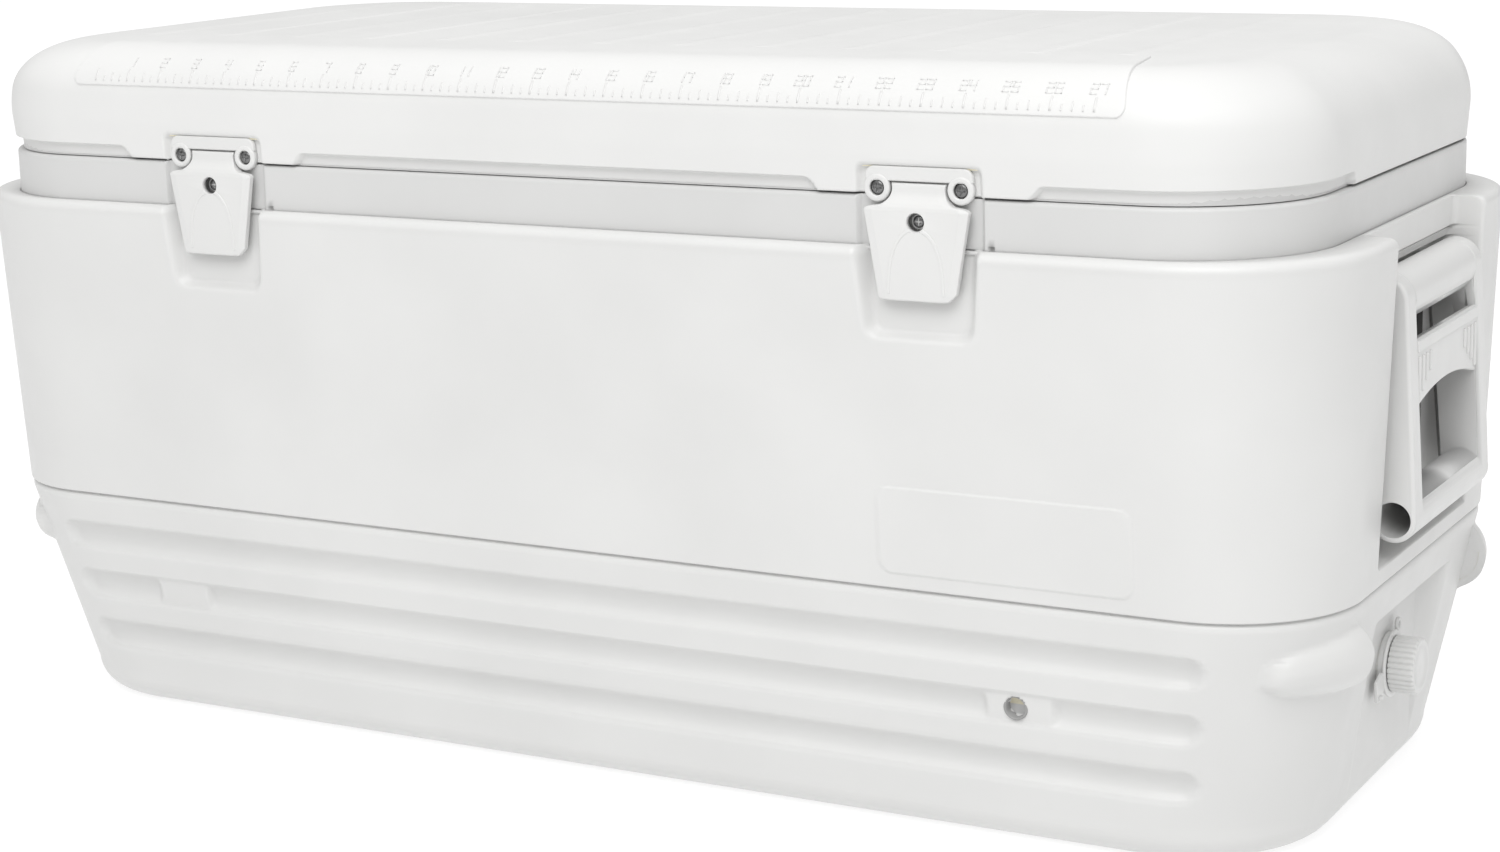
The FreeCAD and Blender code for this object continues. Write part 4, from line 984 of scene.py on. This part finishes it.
def handle(name, flip):
    """A swing-up handle: barrel, two arms, arched panel with ribs and an open grip tube."""
    forms = []
    for side in (-1, 1):
        points, faces = plate(arm_outline(), ARM[1] - ARM[0], 2.6, 6)
        start = ARM[0] if side > 0 else -ARM[1]
        forms.append((np.stack([points[:, 0], points[:, 2] + start, points[:, 1]], axis=1), faces))
    for (x, z, radius), half in ((PIVOT, 63.0), (GRIP, 77.6)):
        profile = [(radius - 1.2, -half), (radius, -half + 1.2), (radius, half - 1.2), (radius - 1.2, half)]
        forms.append(put(turned(profile, 56), (x, 0, z), "back"))
    back, front, _, top = PANEL
    half = PANEL_HALF
    lower = [(across, arch_level(across)) for across in np.linspace(-half, half, 33)]
    face = np.array(lower + [(half, top - 1.0), (half - 1, top), (1 - half, top), (-half, top - 1.0)])
    forms.append(put(plate(face, front - back, 1.5), (back, 0, 0), "end"))
    band = round_corners([(-62, 283.6, 1.2), (62, 283.6, 1.2), (62, 290.4, 1.6), (-62, 290.4, 1.6)], 5)
    forms.append(put(plate(band, 1.6, 0.8), (front - 0.6, 0, 0), "end"))
    for side in (-1, 1):
        for number in range(4):
            middle = side * (58.0 - RIB_PITCH * number)
            low = arch_level(middle) + 3.0 + 3.4 * number
            rib = rounded_rectangle(middle - RIB_HALF, low, middle + RIB_HALF, RIB_TOP, 1.2)
            forms.append(put(plate(rib, 2.2, 1.0), (front - 0.9, 0, 0), "end"))
    x = -GRIP[0] if flip else GRIP[0]
    bore = put(turned([(GRIP_BORE, -90), (GRIP_BORE, 90)]), (x, 0, GRIP[1]), "back")
    return carve(build(name, forms, flip), build("tool", [bore]))


# ---- drain

def drain_cap():
    """A screw cap with grip ribs, a plain collar and a slightly dished end."""
    profile = [(13.4, 458.2), (17.0, 458.2, 1), (17.2, 458.8, 1), (17.2, 472.2, 1), (16.9, 473.2, 1),
               (16.2, 473.8), (15.2, 474.0), (13.0, 473.9), (12.4, 473.4), (6.0, 473.3), (0.01, 473.3)]
    form = turned(profile, 240, ripple=0.9, ribs=30)
    return build("cap", [put(form, (0, 0, DRAIN_LEVEL), "end")])


def drain_ring():
    """The tether: a ring behind the cap, with a tab on its near side and a small eye above."""
    ring = [(14.4, 455.9), (19.6, 455.9), (20.5, 456.5), (20.5, 457.2), (19.9, 457.8), (14.4, 457.8)]
    forms = [put(turned(ring, 72, hollow=True), (0, 0, DRAIN_LEVEL), "end")]
    tab = round_corners([(-31, 65, 2.0), (-22, 65, 2.0), (-16, 74, 2.0), (-22, 82, 2.0), (-33, 78, 2.0)], 5)
    forms.append(put(plate(tab, 2.4, 0.8), (455.0, 0, 0), "end"))
    lip = rounded_rectangle(-30, 66.2, -24, 68.8, 1.0)
    forms.append(put(plate(lip, 2.0, 0.7), (456.9, 0, 0), "end"))
    eye = [(2.2, 455.9), (4.2, 455.9), (4.4, 456.8), (4.2, 457.7), (2.2, 457.7)]
    forms.append(put(turned(eye, 32, hollow=True), (0, 9, DRAIN_LEVEL + 22), "end"))
    return build("tether", forms)


# ---- materials

def map_range(tree, source, low, high, to_low, to_high):
    """Stretches a value from one range to another, and gives the socket it comes out of."""
    node = tree.nodes.new("ShaderNodeMapRange")
    for limit, value in (("From Min", low), ("From Max", high), ("To Min", to_low), ("To Max", to_high)):
        node.inputs[limit].default_value = value
    tree.links.new(source, node.inputs["Value"])
    return node.outputs["Result"]


def plastic(name, colour, rough, grain=900.0, depth=0.06, tint=0.025, edge_lift=0.5):
    """A moulded plastic with a fine grain, faint mottling and slightly lighter edges.

    Grain is the scale of the bump and depth its height in millimetres.
    """
    material = bpy.data.materials.new(name)
    material.use_nodes = True
    tree = material.node_tree
    shader = tree.nodes["Principled BSDF"]
    place = tree.nodes.new("ShaderNodeTexCoord")

    def noise(scale, detail, roughness=0.5):
        node = tree.nodes.new("ShaderNodeTexNoise")
        node.inputs["Scale"].default_value = scale
        node.inputs["Detail"].default_value = detail
        node.inputs["Roughness"].default_value = roughness
        tree.links.new(place.outputs["Object"], node.inputs["Vector"])
        return node.outputs["Fac"]

    cloudy = noise(9.0, 3.0)
    shade = tree.nodes.new("ShaderNodeMix")
    shade.data_type = "RGBA"
    shade.inputs[6].default_value = [c * (1 - tint) for c in colour] + [1]
    shade.inputs[7].default_value = [min(1.0, c * (1 + tint)) for c in colour] + [1]
    tree.links.new(map_range(tree, cloudy, 0.3, 0.7, 0.0, 1.0), shade.inputs[0])
    # Sharp convex edges, found by their pointiness, are mixed a little lighter.
    edges = tree.nodes.new("ShaderNodeNewGeometry")
    edge_share = map_range(tree, edges.outputs["Pointiness"], 0.505, 0.56, 0.0, edge_lift)
    edge_tone = tree.nodes.new("ShaderNodeMix")
    edge_tone.data_type = "RGBA"
    edge_tone.inputs[7].default_value = [min(1.0, c * 1.05) for c in colour] + [1]
    tree.links.new(edge_share, edge_tone.inputs[0])
    tree.links.new(shade.outputs[2], edge_tone.inputs[6])
    tree.links.new(edge_tone.outputs[2], shader.inputs["Base Color"])
    streaks = noise(60.0, 4.0, 0.6)
    sheen = map_range(tree, streaks, 0.3, 0.7, rough - 0.05, rough + 0.06)
    tree.links.new(sheen, shader.inputs["Roughness"])
    fine = noise(grain, 2.0, 0.6)
    bump = tree.nodes.new("ShaderNodeBump")
    bump.inputs["Strength"].default_value = 0.5
    bump.inputs["Distance"].default_value = depth * MM
    tree.links.new(fine, bump.inputs["Height"])
    tree.links.new(bump.outputs["Normal"], shader.inputs["Normal"])
    shader.inputs["IOR"].default_value = 1.49
    return material


def give(piece, material):
    """Puts one material on a piece or a carried-over node."""
    piece.data.materials.clear()
    piece.data.materials.append(material)


WHITE = (0.67, 0.67, 0.662)
shell_plastic = plastic("shell_plastic", WHITE, 0.42)
lid_plastic = plastic("lid_plastic", (0.7, 0.7, 0.692), 0.5)
# The liner is coloured darker than the shell: painted shade for the rim band under the lid's overhang,
# carried over the whole tub.
liner_plastic = plastic("liner_plastic", (0.6, 0.6, 0.594), 0.42, grain=1100, depth=0.03, edge_lift=0.0)
# Near-black painted shade for the back of each handle recess, where the shell lies in deep shade.
painted_shade_plastic = plastic("painted_shade_plastic", (0.09, 0.088, 0.086), 0.6, grain=700, depth=0.05, edge_lift=0.0)
trim_plastic = plastic("trim_plastic", WHITE, 0.36, grain=1200, depth=0.03)
foam_surface = plastic("foam_surface", (0.8, 0.75, 0.58), 0.85, grain=420, depth=0.5, tint=0.06, edge_lift=0.0)
seal_surface = plastic("seal_surface", (0.62, 0.62, 0.6), 0.6, grain=1500, depth=0.03)
steel = plastic("steel", (0.20, 0.20, 0.20), 0.28, grain=1500, depth=0.03, tint=0.1)
steel.node_tree.nodes["Principled BSDF"].inputs["Metallic"].default_value = 1.0

SURFACES = {
    "moulded_shell": shell_plastic, "moulded_lid": lid_plastic, "liner_plastic": liner_plastic,
    "foam": foam_surface, "latch_plastic": trim_plastic, "handle_plastic": trim_plastic,
    "drain_plastic": trim_plastic, "hinge_plastic": trim_plastic, "seal_rubber": seal_surface,
    "screw_steel": steel,
}
for part in frame["record"]["subparts"]:
    for place in frame["nodes"][part["node"]].material_slots:
        place.link = "OBJECT"
        place.material = SURFACES[part["material_slot"]]


def round_edges(node, radius):
    """Rounds the sharp edges of a carried-over part."""
    bevel = node.modifiers.new("edges", "BEVEL")
    bevel.width = radius * MM
    bevel.segments = 2
    bevel.limit_method = "ANGLE"
    bevel.angle_limit = math.radians(50)


for name, node in frame["nodes"].items():
    if name.startswith("hinge_") or name in ("drain_spout", "drain_nut"):
        round_edges(node, 0.3)


def finish_piece(piece, body, slot, *nodes):
    """Gives a piece its surface, puts it on the body it rides on and hides the CAD nodes it stands for."""
    give(piece, SURFACES[slot])
    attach(piece, body)
    if nodes:
        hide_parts(*nodes)
    return piece


SHADE_PATCH = (84.0, 196.0, 302.0)  # half width, foot and top of the patch of painted shade on the back of each recess

chest = finish_piece(body_shell(), "base", "moulded_shell", "body_shell")
# The faces on the back of each handle recess take the painted shade.
chest.data.materials.append(painted_shade_plastic)
for face in chest.data.polygons:
    x, y, z = (abs(value) / MM for value in face.center)
    if 400.0 < x < RECESS_BACK + 1.5 and y < SHADE_PATCH[0] and SHADE_PATCH[1] < z < SHADE_PATCH[2]:
        face.material_index = 1
finish_piece(body_insulation(), "base", "foam", "body_foam")
vent_piece = finish_piece(vent_liner(), "base", "moulded_shell")
# The vent hole's wall and floor are coloured dark grey: painted shade inside the hole.
give(vent_piece, plastic("vent_painted_shade", (0.3, 0.3, 0.296), 0.5, grain=900, depth=0.05, edge_lift=0.0))
finish_piece(tub(), "base", "liner_plastic", "tub_liner")
finish_piece(lid_shell(), "lid", "moulded_lid", "lid_shell")
finish_piece(ruler_marks(), "lid", "moulded_lid")
for label, side in (("left", -1), ("right", 1)):
    middle = side * LATCH_OFFSET
    strap = even_shading(latch_strap("strap_" + label, middle))
    finish_piece(strap, "lid", "latch_plastic", "latch_strap_" + label)
    flap = even_shading(latch_flap("flap_" + label, middle))
    finish_piece(flap, label + "_latch", "latch_plastic", "latch_flap_" + label)
    finish_piece(latch_post("post_" + label, middle), "base", "latch_plastic", "latch_posts")
    post_screw = screw("post_screw_" + label, middle, POST_LEVEL, POST_SCREW)
    finish_piece(post_screw, "base", "screw_steel", "latch_post_screws")
    for ear in (-1, 1):
        name = "strap_screw_%s_%s" % (label, "near" if ear < 0 else "far")
        strap_screw = screw(name, middle + ear * EAR[0], EAR[1], STRAP_SCREW)
        finish_piece(strap_screw, "lid", "screw_steel", "latch_strap_screws")
    handle_piece = even_shading(handle("grab_handle_" + label, side < 0))
    finish_piece(handle_piece, label + "_handle", "handle_plastic", "handle_" + label)
finish_piece(drain_cap(), "cap", "drain_plastic", "drain_cap")
finish_piece(drain_ring(), "base", "drain_plastic", "drain_tether")


# ---- floor, light and camera

def floor():
    """A pale floor that glows enough to look white."""
    line = np.linspace(-15000.0, 15000.0, 24)
    points = [(x, y, 0.0) for y in line for x in line]
    piece = new_mesh("floor", points, sheet_faces(len(line), len(line)))
    material = plastic("floor_paint", (0.32, 0.32, 0.32), 0.9, grain=40, depth=0.05, tint=0.004)
    shader = material.node_tree.nodes["Principled BSDF"]
    shader.inputs["Emission Color"].default_value = (1.0, 1.0, 1.0, 1.0)
    shader.inputs["Emission Strength"].default_value = 0.72
    give(piece, material)


def light_scene():
    """A pale room, brightest overhead, with one large soft lamp in front."""
    world = bpy.data.worlds.new("studio")
    bpy.context.scene.world = world
    world.use_nodes = True
    sky = world.node_tree.nodes["Background"]
    sky.inputs["Color"].default_value = (1.0, 1.0, 1.0, 1.0)
    tree = world.node_tree
    place = tree.nodes.new("ShaderNodeTexCoord")
    split = tree.nodes.new("ShaderNodeSeparateXYZ")
    tree.links.new(place.outputs["Generated"], split.inputs["Vector"])
    tree.links.new(map_range(tree, split.outputs["Z"], 0.0, 0.9, 0.22, 1.2), sky.inputs["Strength"])
    lamp = bpy.data.lights.new("key", "AREA")
    lamp.shape = "RECTANGLE"
    lamp.size = 2.4
    lamp.size_y = 1.6
    lamp.energy = 40.0
    key = bpy.data.objects.new("key", lamp)
    bpy.context.scene.collection.objects.link(key)
    key.location = (0.75, -1.95, 2.2)
    towards = key.location - Vector((0.1, 0.0, 0.25))
    key.rotation_euler = towards.to_track_quat("Z", "Y").to_euler()
    bpy.context.scene.view_settings.view_transform = "Standard"


def place_camera():
    """The viewing angle: where the camera stands, its turn, rise from straight down, and roll."""
    place = Matrix.Translation((0.93761, -1.65459, 0.60127))
    for degrees, axis in ((29.009, "Z"), (77.712, "X"), (-1.449, "Z")):
        place = place @ Matrix.Rotation(math.radians(degrees), 4, axis)
    lens = bpy.data.cameras.new("camera")
    lens.sensor_width = 36.0
    lens.lens = 70.19
    lens.shift_x = 0.00045
    lens.shift_y = 0.0016
    lens.clip_end = 100.0
    camera = bpy.data.objects.new("camera", lens)
    bpy.context.scene.collection.objects.link(camera)
    camera.matrix_world = place
    bpy.context.scene.camera = camera


floor()
light_scene()
place_camera()
